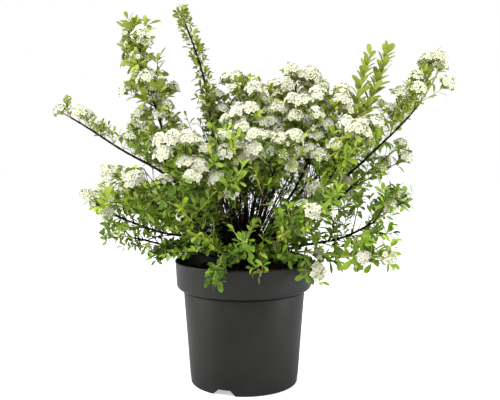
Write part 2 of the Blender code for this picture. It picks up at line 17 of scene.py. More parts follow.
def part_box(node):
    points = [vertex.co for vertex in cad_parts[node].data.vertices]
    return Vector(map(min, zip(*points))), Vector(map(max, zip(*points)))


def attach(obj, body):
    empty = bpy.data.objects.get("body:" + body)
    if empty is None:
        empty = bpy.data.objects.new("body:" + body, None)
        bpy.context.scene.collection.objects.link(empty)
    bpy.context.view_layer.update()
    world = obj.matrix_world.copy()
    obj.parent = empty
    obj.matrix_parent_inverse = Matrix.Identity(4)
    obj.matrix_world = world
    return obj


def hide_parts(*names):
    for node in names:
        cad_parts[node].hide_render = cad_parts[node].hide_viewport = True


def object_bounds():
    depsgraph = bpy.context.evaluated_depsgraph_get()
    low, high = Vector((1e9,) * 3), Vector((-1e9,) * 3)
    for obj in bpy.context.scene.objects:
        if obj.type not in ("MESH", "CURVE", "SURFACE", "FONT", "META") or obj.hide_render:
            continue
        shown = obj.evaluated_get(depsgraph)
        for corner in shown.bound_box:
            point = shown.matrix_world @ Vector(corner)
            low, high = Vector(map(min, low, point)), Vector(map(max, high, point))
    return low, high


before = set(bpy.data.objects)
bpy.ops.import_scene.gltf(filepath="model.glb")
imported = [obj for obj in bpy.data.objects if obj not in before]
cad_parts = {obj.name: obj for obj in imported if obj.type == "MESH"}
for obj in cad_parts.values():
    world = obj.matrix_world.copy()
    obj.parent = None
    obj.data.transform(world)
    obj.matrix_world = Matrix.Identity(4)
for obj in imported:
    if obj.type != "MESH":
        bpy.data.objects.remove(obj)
CAD_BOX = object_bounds()

MM = 0.001
UP = Vector((0, 0, 1))
TURN = 2 * math.pi
TOUCH_GAP = 0.3 * MM

# Pot, as in the solids.
RIM_RADIUS = 95 * MM
POT_HEIGHT = 170 * MM
BEAD_HEIGHT = 3.5 * MM
BEAD_PROUD = 0.6 * MM
COLLAR_FOOT_RADIUS = 93 * MM
COLLAR_FOOT_HEIGHT = 138 * MM
COLLAR_ROUNDING = 7.5 * MM
COLLAR_UNDERSIDE = COLLAR_FOOT_HEIGHT - COLLAR_ROUNDING
BODY_TOP_RADIUS = 83.5 * MM
BODY_FOOT_RADIUS = 74 * MM
HEEL_ROUNDING = 2.5 * MM
WALL = 2.2 * MM
CHANNELS = 3
FIRST_CHANNEL_ANGLE = -111
CHANNEL_HEIGHT = 8 * MM
CHANNEL_FOOT_WIDTH = 33 * MM
CHANNEL_TOP_WIDTH = 18 * MM
CHANNEL_START = 38 * MM
DRAIN_HOLE_RADIUS = 3.5 * MM
DRAIN_HOLE_PLACE = 56 * MM
CUT_BELOW = 6 * MM
LONG_CUT = 110 * MM

# The finer pot made here.
POT_FACETS = 144
POT_ARC_STEPS = 8
HOLE_FACETS = 28
EDGE_SOFTENING = 0.35 * MM
FOOT_BAND_HEIGHT = 11 * MM
FOOT_BAND_STEP = 0.4 * MM
GROOVE_DEPTH = 1.1 * MM
GROOVE_HEIGHT = 2.6 * MM

# Compost and stool, as in the solids.
SOIL_LEVEL = 157 * MM
SOIL_FALL = 5 * MM
SOIL_FLAT_RADIUS = 36 * MM
STOOL_RADIUS = 20 * MM
STOOL_LIFT = 4 * MM
FLARE_RADIUS = 31 * MM
STOOL_CENTRE = Vector((0, 0, SOIL_LEVEL + STOOL_LIFT))
STOOL_RINGS = 16
STOOL_SECTORS = 48
FLARE_RINGS = 4

# Loose surface of the compost.
SOIL_RINGS = 46
SOIL_SECTORS = 150
SOIL_RELIEF = 1.5 * MM
SOIL_SKIRT = 1.2 * MM
SOIL_FADE = 4 * MM
SKIN_LIFT = 0.4 * MM
CRUMB_MARGIN = 9 * MM
CRUMB_ROUGH = 0.16
# Crumbs, chips and grit: how many, their least and greatest size in mm, and their shape.
LOOSE_KINDS = (
    (1500, (0.5, 1.7), (1, 1, 0.8)),
    (170, (1.3, 3.6), (1, 0.55, 0.3)),
    (110, (0.4, 1.0), (1, 1, 1)),
)

# Limbs, as in the solids.
FOOT_SPACING = math.radians(17)
FOOT_ROUNDS = 80
LOWEST_FOOT = math.radians(24)
PATH_STEPS = 96
LIMB_STEP = 22 * MM
LIMB_FOOT_RADIUS = 2.3 * MM
LIMB_TIP_RADIUS = 1.15 * MM
LEAST_STOUT = 0.75
LIMB_WANDER = 0.022
SWAYS = 1.3
BOBS = 1.7

# The source's shoots, leaves and heads, whose places are worked out again here.
TWIG_SIDES = 3
TWIG_TIP_RADIUS = 0.6 * MM
LEAF_THICKNESS = 1.0 * MM
LEAF_WIDTH_SHARE = 0.52
LEAF_BELLY = 0.56
LEAF_CUP = 0.22
LEAF_DROOP = 0.06
HEAD_RADIUS = 14 * MM
HEAD_HEIGHT = 9 * MM
HEAD_SINK = 1.5 * MM
HEAD_TOP_SHARE = 0.6
HEAD_FACETS = 5
GOLDEN_ANGLE = math.radians(137.5)
TRIES = 9
LEAF_TRIES = 4
FOOT_LENGTH = 2 * MM
SHOOT_PLACES = (0.3, 0.7)
TURN_AGAIN = (0.5, 1.3)
SHORTER = 0.9
TAPER_TO_TIP = 0.25
SHOOT_ALONG = 0.55
SHOOT_LEAN = (0.7, 1.05)
SHOOT_UP = 0.5
SHOOT_LENGTHS = (0.75, 1.2)
HEAD_SIZES = (0.9, 1.1)
HEAD_UP = 0.6
TIP_HEAD_UP = 0.8
TIP_STALK = 4 * MM
TIP_FLOWERS_ABOVE = 0.3
LEAF_ALONG = 0.6
LEAF_UP = 0.15
LEAF_LENGTHS = (0.85, 1.1)
LEAVES_FROM = 0.35
LEAVES_OVER = 0.6
LEAVES_BY_HEAD = 2
LEAVES_ALONE = 3
# The arms lean out so far that all their shoots rise from the upper side, at this slope or steeper.
RISING = ("left_arm", "right_arm")
RISING_SLOPE = 0.5
SPACE_MARGIN = 2.4 * MM
LIMB_MARGIN = 0.9 * MM
POT_MARGIN = 1.3 * MM
CROWDING = 6.5 * MM
SAMPLE_STEP = 4 * MM

Plan = namedtuple("Plan", "limb path bough stem")
Shoot = namedtuple("Shoot", "root tip flowering axis size")
Blade = namedtuple("Blade", "root way length")
Leaves = namedtuple("Leaves", "size gap wide")
# How far a shoot leans out, in degrees, and how much it is lifted to the light.
Lean = namedtuple("Lean", "least most lift")
# How far a leaf leans out at its shoot's foot, how much less at its tip, give or take, and its lift.
LeafLean = namedtuple("LeafLean", "foot fall wobble lift")
# Growth in rows up a limb: how far before the limb's leafy share it begins, the earliest it may, and
# where it ends, as shares of the limb, then the gap, and how that varies.
Rows = namedtuple("Rows", "early least end gap spread")
# A side shoot: its rings, foot radius, share of its limb's colour, where its leaves begin, and how much
# brighter they are than their neighbours.
SideShoot = namedtuple("SideShoot", "rings radius young start brighter")
Limb = namedtuple(
    "Limb", "name bough azimuth reach height leave arrive bare spread shoots shoot blossom leaf"
)
LIMBS = (
    # Left side.
    Limb("left_arm", True, 177, 252, 372, 62, 30, 0.50, 46, 6, 24, 0.7, 21),
    Limb("left_inner", False, 165, 140, 345, 64, 62, 0.50, 46, 4, 30, 0.6, 27),
    Limb("upper_left", True, 169, 157, 492, 58, 80, 0.52, 42, 9, 26, 0.8, 24),
    Limb("tall_shoot", True, 156, 98, 514, 84, 66, 0.55, 26, 7, 16, 0.12, 17),
    Limb("low_left", True, -172, 196, 250, 40, 48, 0.40, 60, 6, 34, 0.5, 27),
    Limb("left_under", False, -177, 185, 208, 26, 18, 0.62, 30, 3, 18, 0.0, 22),
    Limb("left_droop", False, -166, 117, 184, 40, -42, 0.55, 34, 3, 20, 0.0, 22),
    Limb("left_front", True, -155, 178, 292, 42, 50, 0.42, 58, 5, 34, 0.7, 28),
    # Crown and front.
    Limb("front_left", True, -127, 135, 326, 52, 62, 0.44, 58, 5, 32, 0.7, 28),
    Limb("front_mid", True, -101, 118, 335, 58, 66, 0.44, 56, 5, 32, 0.7, 28),
    Limb("front_right", True, -66, 112, 330, 56, 64, 0.44, 56, 5, 32, 0.7, 28),
    Limb("crown_left", True, 136, 52, 392, 76, 72, 0.52, 58, 5, 32, 0.8, 28),
    Limb("crown_mid", True, -25, 16, 405, 84, 80, 0.56, 56, 5, 30, 0.8, 28),
    Limb("crown_front", False, -82, 62, 370, 70, 74, 0.52, 52, 4, 30, 0.8, 28),
    Limb("crown_right", False, -14, 68, 384, 68, 74, 0.52, 56, 5, 30, 0.8, 28),
    Limb("right_top", True, 20, 98, 424, 66, 78, 0.56, 46, 5, 28, 0.8, 27),
    Limb("right_crown", True, -22, 134, 394, 56, 66, 0.54, 50, 5, 30, 0.8, 27),
    Limb("right_front", True, -30, 172, 340, 46, 56, 0.46, 54, 5, 30, 0.7, 28),
    Limb("front_low_left", False, -124, 138, 258, 36, 46, 0.40, 52, 4, 28, 0.2, 27),
    Limb("front_low_right", False, -56, 140, 250, 36, 44, 0.40, 52, 4, 28, 0.2, 28),
    # Right side.
    Limb("leafy_shoot", True, -4, 194, 458, 44, 75, 0.60, 34, 7, 18, 0.0, 25),
    Limb("right_arm", True, 4, 270, 432, 42, 66, 0.48, 74, 9, 47, 0.7, 23),
    Limb("right_second", True, 9, 222, 324, 40, 36, 0.48, 50, 5, 28, 0.5, 24),
    Limb("right_low", True, -16, 208, 258, 30, 60, 0.55, 44, 5, 26, 0.4, 26),
    Limb("low_right", True, -34, 213, 190, 30, 4, 0.40, 40, 6, 22, 0.4, 28),
    Limb("right_droop", False, -44, 128, 168, 40, -48, 0.55, 36, 3, 20, 0.5, 24),
    # Twigs that hang over the front of the rim.
    Limb("front_hang_left", False, -108, 116, 167, 42, -62, 0.52, 36, 3, 18, 0.0, 22),
    Limb("front_hang_right", False, -78, 114, 173, 40, -58, 0.52, 34, 3, 18, 0.0, 22),
    Limb("front_leafy", False, -88, 126, 214, 34, 24, 0.45, 40, 4, 20, 0.0, 28),
    # Back, of the same make.
    Limb("back_right", True, 40, 216, 352, 46, 54, 0.46, 62, 6, 34, 0.7, 28),
    Limb("back_high", False, 68, 118, 412, 66, 74, 0.52, 58, 5, 32, 0.7, 28),
    Limb("back_mid", True, 92, 200, 342, 48, 56, 0.44, 62, 6, 34, 0.7, 28),
    Limb("back_left", True, 138, 212, 350, 46, 52, 0.46, 62, 6, 34, 0.7, 28),
    Limb("back_low_right", False, 64, 204, 238, 32, 38, 0.42, 56, 5, 30, 0.4, 28),
    Limb("back_hang", False, 92, 124, 172, 42, -50, 0.52, 38, 4, 20, 0.2, 24),
    Limb("back_low_left", False, 118, 200, 232, 32, 34, 0.42, 56, 5, 30, 0.4, 28),
)

# How each limb's fine growth differs from the usual. leaf is a leaf's length in mm, old is the share of
# the limb that is dark wood, young is the colour of its young end, and light is how bright its leaves
# are, from 0 to 1. spurs, branches, laterals and heads are shares of the usual numbers. early is how
# much sooner than the source's first shoot the growth begins, as a share of the limb. tuft is a
# spur's length in mm, tall a lateral's length as a share of the usual, wide half a leaf's width as a
# share of its length, under is False where nothing grows on the limb's underside, head is the size of
# its flower heads and gap the spacing of its leaves, both as a share of the usual, and top is the
# height in mm above which it is all leaves.
# A low light deals a limb's leaves darker tints: partly their own darker green and partly painted shade on
# limbs that lie under the crown.
Habit = namedtuple(
    "Habit",
    "leaf old young light spurs branches laterals heads early tuft tall wide under head gap top",
    defaults=(1.0, 0.12, 5.0, 1.0, 0.21, True, 1.0, 1.0, 999),
)
USUAL = Habit(14.0, 0.86, "green", 0.5, 0.9, 1.0, 0.6)
CROWN = Habit(14.0, 0.86, "green", 0.58, 0.9, 1.35, 1.3, early=-0.02, wide=0.2)
FRONT = CROWN._replace(early=-0.14, light=0.42, spurs=0.75, laterals=1.1)
HABITS = {
    "crown_left": CROWN._replace(laterals=2.0, early=0.1),
    "crown_mid": CROWN,
    "crown_front": CROWN,
    "crown_right": CROWN,
    "right_top": CROWN,
    "right_crown": CROWN,
    "front_left": FRONT,
    "front_mid": FRONT,
    "front_right": FRONT,
    "back_high": CROWN._replace(early=-0.08),
    "back_mid": USUAL._replace(early=-0.08),
    "back_right": USUAL._replace(early=-0.04),
    "left_arm": Habit(10.5, 0.95, "tan", 0.4, 0.0, 0.0, 0.9, heads=0.3, under=False, head=0.85, gap=0.7),
    "tall_shoot": Habit(11.0, 0.96, "tan", 0.15, 2.5, 0.0, 0.5, heads=0.0, tuft=8.5, tall=0.7, head=0.5),
    "upper_left": Habit(18.5, 0.88, "tan", 0.68, 0.8, 1.0, 1.5, heads=1.6, top=484),
    "leafy_shoot": Habit(21.0, 0.50, "red", 0.85, 0.0, 0.0, 0.0, wide=0.23),
    "right_arm": Habit(
        15.0, 0.86, "green", 0.48, 0.0, 0.0, 1.6, heads=1.1, tall=1.45, under=False, head=1.05
    ),
    "right_second": Habit(14.0, 0.86, "green", 0.55, 0.6, 0.5, 1.0, heads=1.6, gap=1.2),
    "low_left": Habit(13.5, 0.86, "green", 0.55, 0.9, 0.9, 0.8, heads=5.0),
    "left_front": Habit(17.0, 0.70, "green", 0.85, 0.6, 0.7, 0.8, heads=0.8),
    "low_right": Habit(20.0, 0.30, "green", 0.6, 0.6, 0.3, 0.5, heads=2.0, wide=0.24, head=0.8),
    "front_leafy": Habit(15.0, 0.55, "green", 0.5, 0.25, 0.0, 0.2, heads=0.0, wide=0.26, gap=1.3),
    "front_hang_left": Habit(13.5, 0.60, "green", 0.25, 0.6, 0.3, 0.0, heads=0.0, wide=0.25),
    "front_hang_right": Habit(13.5, 0.50, "red", 0.25, 0.5, 0.3, 0.0, heads=0.0, wide=0.25),
    "left_droop": Habit(12.0, 0.80, "green", 0.3, 1.9, 1.8, 0.0, heads=0.0),
    "left_under": Habit(12.0, 0.80, "green", 0.35, 1.0, 1.0, 0.3, heads=0.0),
    "right_droop": Habit(15.0, 0.80, "red", 0.6, 1.0, 0.7, 0.0),
    "right_low": Habit(14.0, 0.80, "green", 0.5, 1.0, 1.2, 1.0),
    "right_front": Habit(14.5, 0.86, "green", 0.55, 0.9, 1.2, 1.0, early=0.04),
    "front_low_left": USUAL._replace(light=0.22, spurs=0.6, branches=0.7, heads=0.4, early=-0.06),
    "front_low_right": Habit(15.0, 0.80, "green", 0.42, 0.6, 0.6, 0.6, heads=1.2, early=-0.06),
}

# Old limbs that stand free in front of the leaves, between two shares of their length.
SHOWN = {
    "left_arm": (0.42, 0.96),
    "low_right": (0.38, 0.60),
    "right_arm": (0.44, 0.80),
    "tall_shoot": (0.70, 0.93),
    "low_left": (0.42, 0.92),
    "right_crown": (0.46, 0.66),
    "right_low": (0.54, 0.88),
    "upper_left": (0.60, 0.74),
    "left_under": (0.62, 0.86),
}
SHOWN_FROM = Vector((8, -1012, 336)) * MM
SHOWN_WIDTH = 3.6 * MM
SHOWN_DEPTH = 150 * MM
SHOWN_STEP = 5 * MM

# Places that growth keeps out of, by how far they reach from the middle of the plant, back and front:
# right through the crown, in the far half behind the stems, and in the near half in front of them.
# Each is across, height and radius, in mm, in the plane through the plant's middle.
OPENING_DEPTH = 400 * MM
WINDOW_START = -20 * MM
THIN_PLACES = {
    (-OPENING_DEPTH, OPENING_DEPTH): (
        (198, 315, 10), (-130, 288, 9), (-118, 291, 7), (158, 219, 8), (170, 235, 5), (-114, 359, 8),
        (-121, 437, 7), (-126, 456, 4), (199, 392, 6), (-100, 385, 6), (92, 291, 6), (99, 282, 5),
        (86, 269, 5), (139, 224, 4), (117, 194, 5), (-159, 206, 4), (84, 259, 3.5), (-8, 217, 4),
        (27, 211, 3.5), (-24, 238, 3), (8, 243, 3), (0, 127, 9), (12, 131, 7),
    ),
    (-OPENING_DEPTH, WINDOW_START): (
        (-22, 238, 13), (6, 256, 14), (10, 226, 13), (36, 244, 14), (46, 270, 13), (66, 252, 13),
        (34, 216, 10), (-44, 214, 9),
    ),
    (0, OPENING_DEPTH): (
        (23, 256, 12), (44, 258, 8), (8, 238, 8), (30, 234, 9), (-28, 246, 7), (-6, 222, 7),
        (-46, 214, 7), (-62, 173, 8), (-44, 172, 6), (-24, 198, 7), (14, 208, 6), (62, 232, 6),
    ),
}

# Each side of the plant is one piece of each kind.
SIDES = {
    "left": (
        "left_arm", "left_inner", "upper_left", "tall_shoot", "low_left", "left_under", "left_droop",
        "left_front", "crown_left",
    ),
    "front": (
        "front_left", "front_mid", "front_right", "crown_mid", "crown_front", "front_low_left",
        "front_low_right", "front_hang_left", "front_hang_right", "front_leafy",
    ),
    "right": (
        "right_top", "right_crown", "right_front", "crown_right", "leafy_shoot", "right_arm",
        "right_second", "right_low", "low_right", "right_droop",
    ),
    "back": (
        "back_right", "back_high", "back_mid", "back_left", "back_low_right", "back_hang",
        "back_low_left",
    ),
}

# Fine growth.
LEAF_WIDE = 0.22
TIP_SHOOT = 5 * MM
UNDER_HEAD = 0.84
SHOOT_END = 0.99
SHOOT_SAG = 0.08
END_UP = 0.5
SPUR_LEAN = Lean(45, 75, 0.35)
LATERAL_LEAN = Lean(38, 60, 0.35)
LATERAL_RISE = 0.12
BRANCH_LEAN = Lean(30, 55, 0.25)
BRANCH_SPUR_LEAN = Lean(42, 66, 0.2)
BASAL_SIDE_LEAN = Lean(30, 60, 0.2)
LEAF_LEAN = LeafLean(72, 36, 9, 0.12)
TUFT_LEAN = LeafLean(78, 50, 10, 0.15)
LARGE_LEAF_LEAN = LeafLean(56, 22, 7, 0.1)
SPUR_ROWS = Rows(0.16, 0.28, 0.99, 6.5 * MM, (0.7, 1.3))
BRANCH_ROWS = Rows(0.12, 0.34, 0.95, 13 * MM, (0.75, 1.25))
UPRIGHT_ROWS = Rows(0.08, 0.35, 0.98, 13 * MM, (0.7, 1.3))
FIRST_GROWTH = 0.3
UPWARD = 0.1
MANY_SPURS = 0.6
SPUR_GAP_GROWTH = 0.7
LEAST_ACROSS = 0.05
TUFT_FROM = 0.35
TUFT_SPREAD = (0.7, 1.1)
UPRIGHT_ALONG = (0.3, 0.75)
UPRIGHT_ASIDE = (-0.5, 0.5)
UPRIGHT_LENGTHS = (0.55, 1.0)
UPRIGHT_BOW = 0.10
WAY_STEP = 3 * MM
FACE_ALONG = 0.7
FACE_UP = 0.6
FACE_JITTER = 0.35
LEAF_MIDDLE = 0.62
LEAF_STRAY = 0.25
LENGTH_SPREAD = (0.6, 1.4)
LEAF_SPREAD = (0.85, 1.12)
WIDTH_SPREAD = (0.85, 1.15)
LEAF_FOLD = (0.12, 0.5)
LEAF_CURL = (-0.04, 0.26)
LEAF_GAP = 4.4 * MM
SPUR_LENGTH = 5 * MM
SPUR_LEAVES = 4
SPUR_BOW = 0.3 * MM
SPUR_RADII = (0.5 * MM, 0.45 * MM, 0.35 * MM)
END_LEAVES = 5
LATERAL_LENGTH = 22 * MM
LATERAL_SHARE = 0.3
BRANCH_LENGTH = 58 * MM
BRANCH_RADIUS = 0.95 * MM
BRANCH_TIP_RADIUS = 0.45 * MM
BRANCH_TRIES = 7
BRANCH_SPREAD = (0.7, 1.15)
BRANCH_SHORTER = 0.88
BRANCH_TURN = 0.9
BRANCH_SLIM = 0.6
BRANCH_STOUT_FROM = 90 * MM
BRANCH_LEAFY = 0.85
BRANCH_BARE = 0.2
SPUR_PLACES = (0.2, 0.8)
BRANCH_CLEARANCE = 6 * MM
USUAL_SPREAD = 52
WIDE_SPREAD = 1.15
SHOOT_RADIUS = 0.75 * MM
SHOOT_TIP_RADIUS = 0.42 * MM
SHOOT_SWAY = 0.06
SHOOT_DROOP = 0.05
SHOOT_YOUNG = 0.35
SHOOT_LEAVES_FROM = 0.12
LATERAL = SideShoot(4, 0.65 * MM, 0.3, 0.15, 0.12)
UPRIGHT = SideShoot(5, SHOOT_RADIUS, 0.4, 0.1, 0.1)
BLADE_SPUR_LEAST = 2.5 * MM
BLADE_LEAF_REACH = 0.85
BLADE_SPUR_SHORTER = 1.2
RUNNER_LENGTH = 62 * MM
RUNNERS = 5
RUNNERS_UP_TO = 0.7
RUNNER_LEAVES_FROM = 0.08
RUNNER_TIP_LENGTH = 2 * MM
RUNNER_RADII = (0.75 * MM, 0.4 * MM)
RUNNER_TINTS = (1, 1, 2, 2)
RUNNER_LEAVES = Leaves(11.5 * MM, 4.6 * MM, 0.18)
RUNNER_TIP_LEAVES = Leaves(10 * MM, LEAF_GAP, LEAF_WIDE)
RUNNER_LIMBS = (
    "front_left", "front_mid", "front_right", "crown_left", "crown_front", "crown_right", "left_front",
    "front_low_left", "front_low_right", "right_front", "back_mid", "back_left", "back_right",
)
TWIN_OFFSET = Vector((-26, -5, -13)) * MM
TWIN_FORK = 0.62
TWIN_BOW = 0.35
TWIN_LEAVES = 44
LEAFY_LEAVES = 62
TWIN_RADII = (1.2 * MM, 0.6 * MM)
LARGE_LEAF_ENDS = (0.52, 0.985)
LARGE_LEAF_TINTS = (1, 1, 2, 2, 2)
LARGE_LEAF_FOOT = 0.8
LARGE_LEAF_SWELL = 0.25
LARGE_LEAF_SPREAD = (0.85, 1.1)
FINE_SPACE_MARGIN = -8 * MM
LEAF_CLEARANCE = 0.4 * MM
REACH_MARGIN = 3 * MM
SIDE_MARGIN = 8 * MM
TOP_MARGIN = -1 * MM
HEAD_LIFT = 9 * MM
HEAD_SPACING = 12.5 * MM
LEAF_TINTS = ("lime", "fresh", "mid", "deep", "dark")
# Leaves below these heights take the shade set, and leaves near TINT_CENTRE take darker tints: partly the
# leaves' own older green and partly painted shade.
SUNNY_HEIGHTS = (270, 390)
TINT_CENTRE = Vector((0, 0, 200 * MM))
TINT_REACH = 250 * MM
TINT_INSIDE = 0.14
TINT_OUTSIDE = 0.50
TINT_SPREAD = 0.17
SHOOT_TINTS = ("green", "tan", "red", "old")

# Thin stems straight from the root crown, between the limbs.
BASAL_TWIGS = 100
BASAL_LENGTH = (90 * MM, 190 * MM)
BASAL_RADII = (0.9 * MM, 0.5 * MM)
BASAL_SIDE_RADII = (0.5 * MM, 0.32 * MM)
BASAL_SIDE_GAP = 14 * MM
BASAL_SIDE_LENGTH = (14, 34)
BASAL_SLOPE = (22, 84)
BASAL_TRIES = 12
BASAL_CLEARANCE = 1.6 * MM
BASAL_UP = 0.25
BASAL_BOW = 0.07
BASAL_STOUT = (0.7, 1.15)
BASAL_SIDE_ENDS = (0.3, 0.98)
BASAL_SIDE_SAG = 0.06
LEAFY_FROM = 0.35
# Tints of the shade set for the heart's leaves: partly the leaves' own darker green and partly painted
# shade.
BASAL_TINTS = (1, 2, 3, 3, 4)
STEM_SUNK = 0.96
BASAL_LEAVES_FROM = 212 * MM
RIM_TWIGS = 104
RIM_TWIG_LENGTH = (62 * MM, 108 * MM)
RIM_TWIG_SLOPE = (12, 40)
RIM_FRONT_SHARE = 0.3
RIM_TWIG_RADII = (0.9 * MM, 0.45 * MM)
# Tints of the shade set for the leaves low over the compost: partly their own darker green and partly
# painted shade.
RIM_TINTS = (1, 2, 2, 3, 3)
RIM_CLEARANCE = 1.2 * MM
RIM_FRONT = -0.7
RIM_BOW = 0.12
BASAL_LEAVES = Leaves(12 * MM, 6.5 * MM, 0.17)
RIM_LEAVES = Leaves(12 * MM * 1.05, 3.6 * MM, LEAF_WIDE)
RIM_TIP_LEAVES = Leaves(12 * MM, LEAF_GAP, LEAF_WIDE)

# Blossom.
BLOSSOM_HEIGHTS = (235, 290, 325, 365)
BLOSSOM_SHARES = (0.05, 0.42, 1.1, 1.6)
FLOWERS = 30
FLOWER_RADIUS = 3.8 * MM
DOME_RADIUS = 11.5 * MM
DOME_HEIGHT = 12.5 * MM
BUD_RADIUS = 1.15 * MM
PEDICEL_RADIUS = 0.28 * MM
BUDS_BELOW = 0.5
CROWDED_RIM = 0.44
CUSHION_DEPTH = 1.6 * MM
CUSHION_FACETS = 8
HEAD_SPREAD = (0.8, 1.04)
FLOWERS_SPREAD = (0.88, 1.12)
DOME_SPREAD = (0.9, 1.1)
FLOWER_SPREAD = (0.85, 1.1)
FLOWER_CUP = (0.5, 1.6)
FLOWER_UP = 1.1
FLOWER_UP_FALL = 0.7
FLOWER_JITTER = 0.2
DOME_FALL = 0.84
PEDICEL_BOW = 0.7 * MM
PEDICEL_BEND = 0.55
PEDICEL_DROP = 3.5
PEDICEL_SWELL = (1.3, 1.0, 2.9)
GREEN_BUDS = 0.45
BUD_SPREAD = (0.75, 1.2)
# How many of a head's flowers are open, and how wide and how high it is, as shares of a full one.
STAGES = {"open": (0.96, 1.0, 1.0), "opening": (0.6, 1.0, 1.0), "bud": (0.0, 0.68, 0.8)}
STAGE_SHARES = (0.78, 0.12, 0.10)
BLOSSOM_PARTS = ("petal", "flower_heart", "stamen", "bud_cream", "bud_green", "pedicel", "head_cushion")
PETAL, HEART, STAMEN, BUD_CREAM, BUD_GREEN, PEDICEL, CUSHION = range(7)
PETALS = 5
PETAL_OUTLINE = ((0.14, 0.0), (0.55, -0.38), (0.90, -0.30), (1.0, 0.05), (0.85, 0.33), (0.48, 0.36))
PETAL_RISE = 0.20
PETAL_LIFT = 0.05
STAMEN_CORNERS = ((-0.25, 0.22, 0.08), (0.25, 0.22, 0.08), (0, 0.50, 0.42))
# How far up a leaf each row of its points lies, and how wide it is there.
LEAF_ROWS = ((0.14, 0.20), (0.40, 0.80), (0.68, 1.0), (0.91, 0.70))

# Bark.
BARK_SIDES = 8
BARK_STEP = 2.6 * MM
BARK_ROUGH = 0.045
NODE_SPACING = 13 * MM
NODE_LENGTH = 1.7 * MM
NODE_SWELL = 0.20
RIDGE_DEPTH = 0.07
RIDGE_DRIFT = 60
FOOT_FLARE = 5 * MM
FOOT_SWELL = 0.5
LIMB_SUNK = 1.5
YOUNG_STEP = 6 * MM
YOUNG_SIDES = 6
YOUNG_OVERLAP = 1 * MM
YOUNG_RADIUS = 0.97
YOUNG_TAPER = 0.35

# Finishes: colour, roughness, coarse and fine grain, drift of the colour, and the bump's strength and
# depth in mm. shine is the specular level, where it isn't the usual one.
Finish = namedtuple("Finish", "color roughness coarse fine drift bump depth shine", defaults=(0.2, None))
FINISHES = {
    "thin_bark": Finish((0.010, 0.007, 0.0055), 0.7, 160, 900, 0.9, 0.6, shine=0.15),
    "old_bark": Finish((0.008, 0.006, 0.0048), 0.7, 140, 1100, 1.1, 0.9, 0.4, 0.15),
    "petal": Finish((0.66, 0.655, 0.545), 0.6, 400, 2400, 0.08, 0.2),
    "flower_heart": Finish((0.42, 0.47, 0.07), 0.6, 400, 2000, 0.3, 0.3),
    "stamen": Finish((0.72, 0.68, 0.40), 0.6, 400, 2000, 0.2, 0.2),
    "bud_cream": Finish((0.66, 0.66, 0.36), 0.55, 400, 2000, 0.25, 0.3),
    "bud_green": Finish((0.30, 0.38, 0.08), 0.55, 400, 2000, 0.3, 0.3),
    "head_cushion": Finish((0.40, 0.44, 0.20), 0.7, 600, 1800, 0.8, 0.8, 0.4),
    "pedicel": Finish((0.30, 0.38, 0.09), 0.55, 200, 1500, 0.3, 0.2),
    "moulded_plastic": Finish((0.0092, 0.0090, 0.0081), 0.48, 14, 1500, 0.6, 0.22, shine=0.24),
    "compost": Finish((0.016, 0.012, 0.010), 0.95, 260, 1500, 1.2, 1.0, 0.6),
    "bark_chip": Finish((0.055, 0.033, 0.020), 0.85, 300, 1200, 0.9, 0.8, 0.4),
    "grit": Finish((0.30, 0.29, 0.27), 0.8, 500, 1500, 0.4, 0.4),
}
LEAF_FINISH = Finish(None, 0.5, 90, 1400, 0.35, 0.25, shine=0.15)
SHOOT_FINISH = Finish(None, 0.55, 120, 900, 0.4, 0.3)

# Leaf colours, first of the sunny growth and then of the shady growth, each in the order of LEAF_TINTS.
# The two sets are lit and shaded copies of one palette: the sunny set yellower, the shady set greener and
# darker, partly the leaves' own colour and partly painted light and shade.
LEAF_COLORS = {
    "lime": (0.345, 0.42, 0.060),
    "fresh": (0.295, 0.365, 0.045),
    "mid": (0.245, 0.31, 0.032),
    "deep": (0.150, 0.205, 0.022),
    "dark": (0.070, 0.108, 0.014),
    "shade_lime": (0.33, 0.45, 0.042),
    "shade_fresh": (0.255, 0.385, 0.032),
    "shade_mid": (0.180, 0.295, 0.025),
    "shade_deep": (0.098, 0.175, 0.020),
    "shade_dark": (0.048, 0.092, 0.013),
}
UNDERSIDE = (0.42, 0.52, 0.10)
UNDERSIDE_SHARE = 0.45
SHOOT_COLORS = {
    "green": (0.42, 0.48, 0.085),
    "tan": (0.26, 0.18, 0.075),
    "red": (0.24, 0.080, 0.035),
}

# Camera: how far in front of the pot's axis it stands, to its right, above the ground, and its tilt.
CAMERA_PLACE = (8.1 * MM, -1012 * MM, 336 * MM)
CAMERA_DOWN = math.radians(4.76)
CAMERA_LENS = 53.28

# Studio: how bright the white surround is to the camera, as light, and in reflections.
SKY_SEEN = 1.0
SKY_LIGHT = 0.72
SKY_GLOSS = 0.10
FLOOR_GLOW = 0.5
FLOOR_FINISH = {
    "Base Color": (0.72, 0.72, 0.72, 1),
    "Roughness": 0.9,
    "Specular IOR Level": 0.1,
    "Emission Color": (1, 1, 1, 1),
}
# Soft lights: name, place, what it points at, size and power.
LIGHTS = (
    ("key", (-1.5, -0.8, 2.1), (0, 0, 0.3), (1.2, 1.2), 43),
    ("fill", (0.4, -1.7, 1.9), (0, 0, 0.3), (1.2, 1.0), 17),
    ("left_strip", (-1.5, -0.3, 0.35), (0, 0, 0.15), (0.7, 1.2), 18),
    ("right_strip", (1.5, -0.4, 0.25), (0, 0, 0.1), (0.7, 1.0), 22),
    ("top", (0.1, 0.2, 2.2), (0, 0, 0.3), (1.6, 1.6), 38),
)


# Limbs: the source's rule again.


def direction(azimuth, slope):
    level = math.cos(slope)
    return Vector((math.cos(azimuth) * level, math.sin(azimuth) * level, math.sin(slope)))


def around(axis, angle):
    """The way that stands square to an axis, turned round it by an angle."""
    across = axis.orthogonal().normalized()
    return across * math.cos(angle) + axis.cross(across) * math.sin(angle)


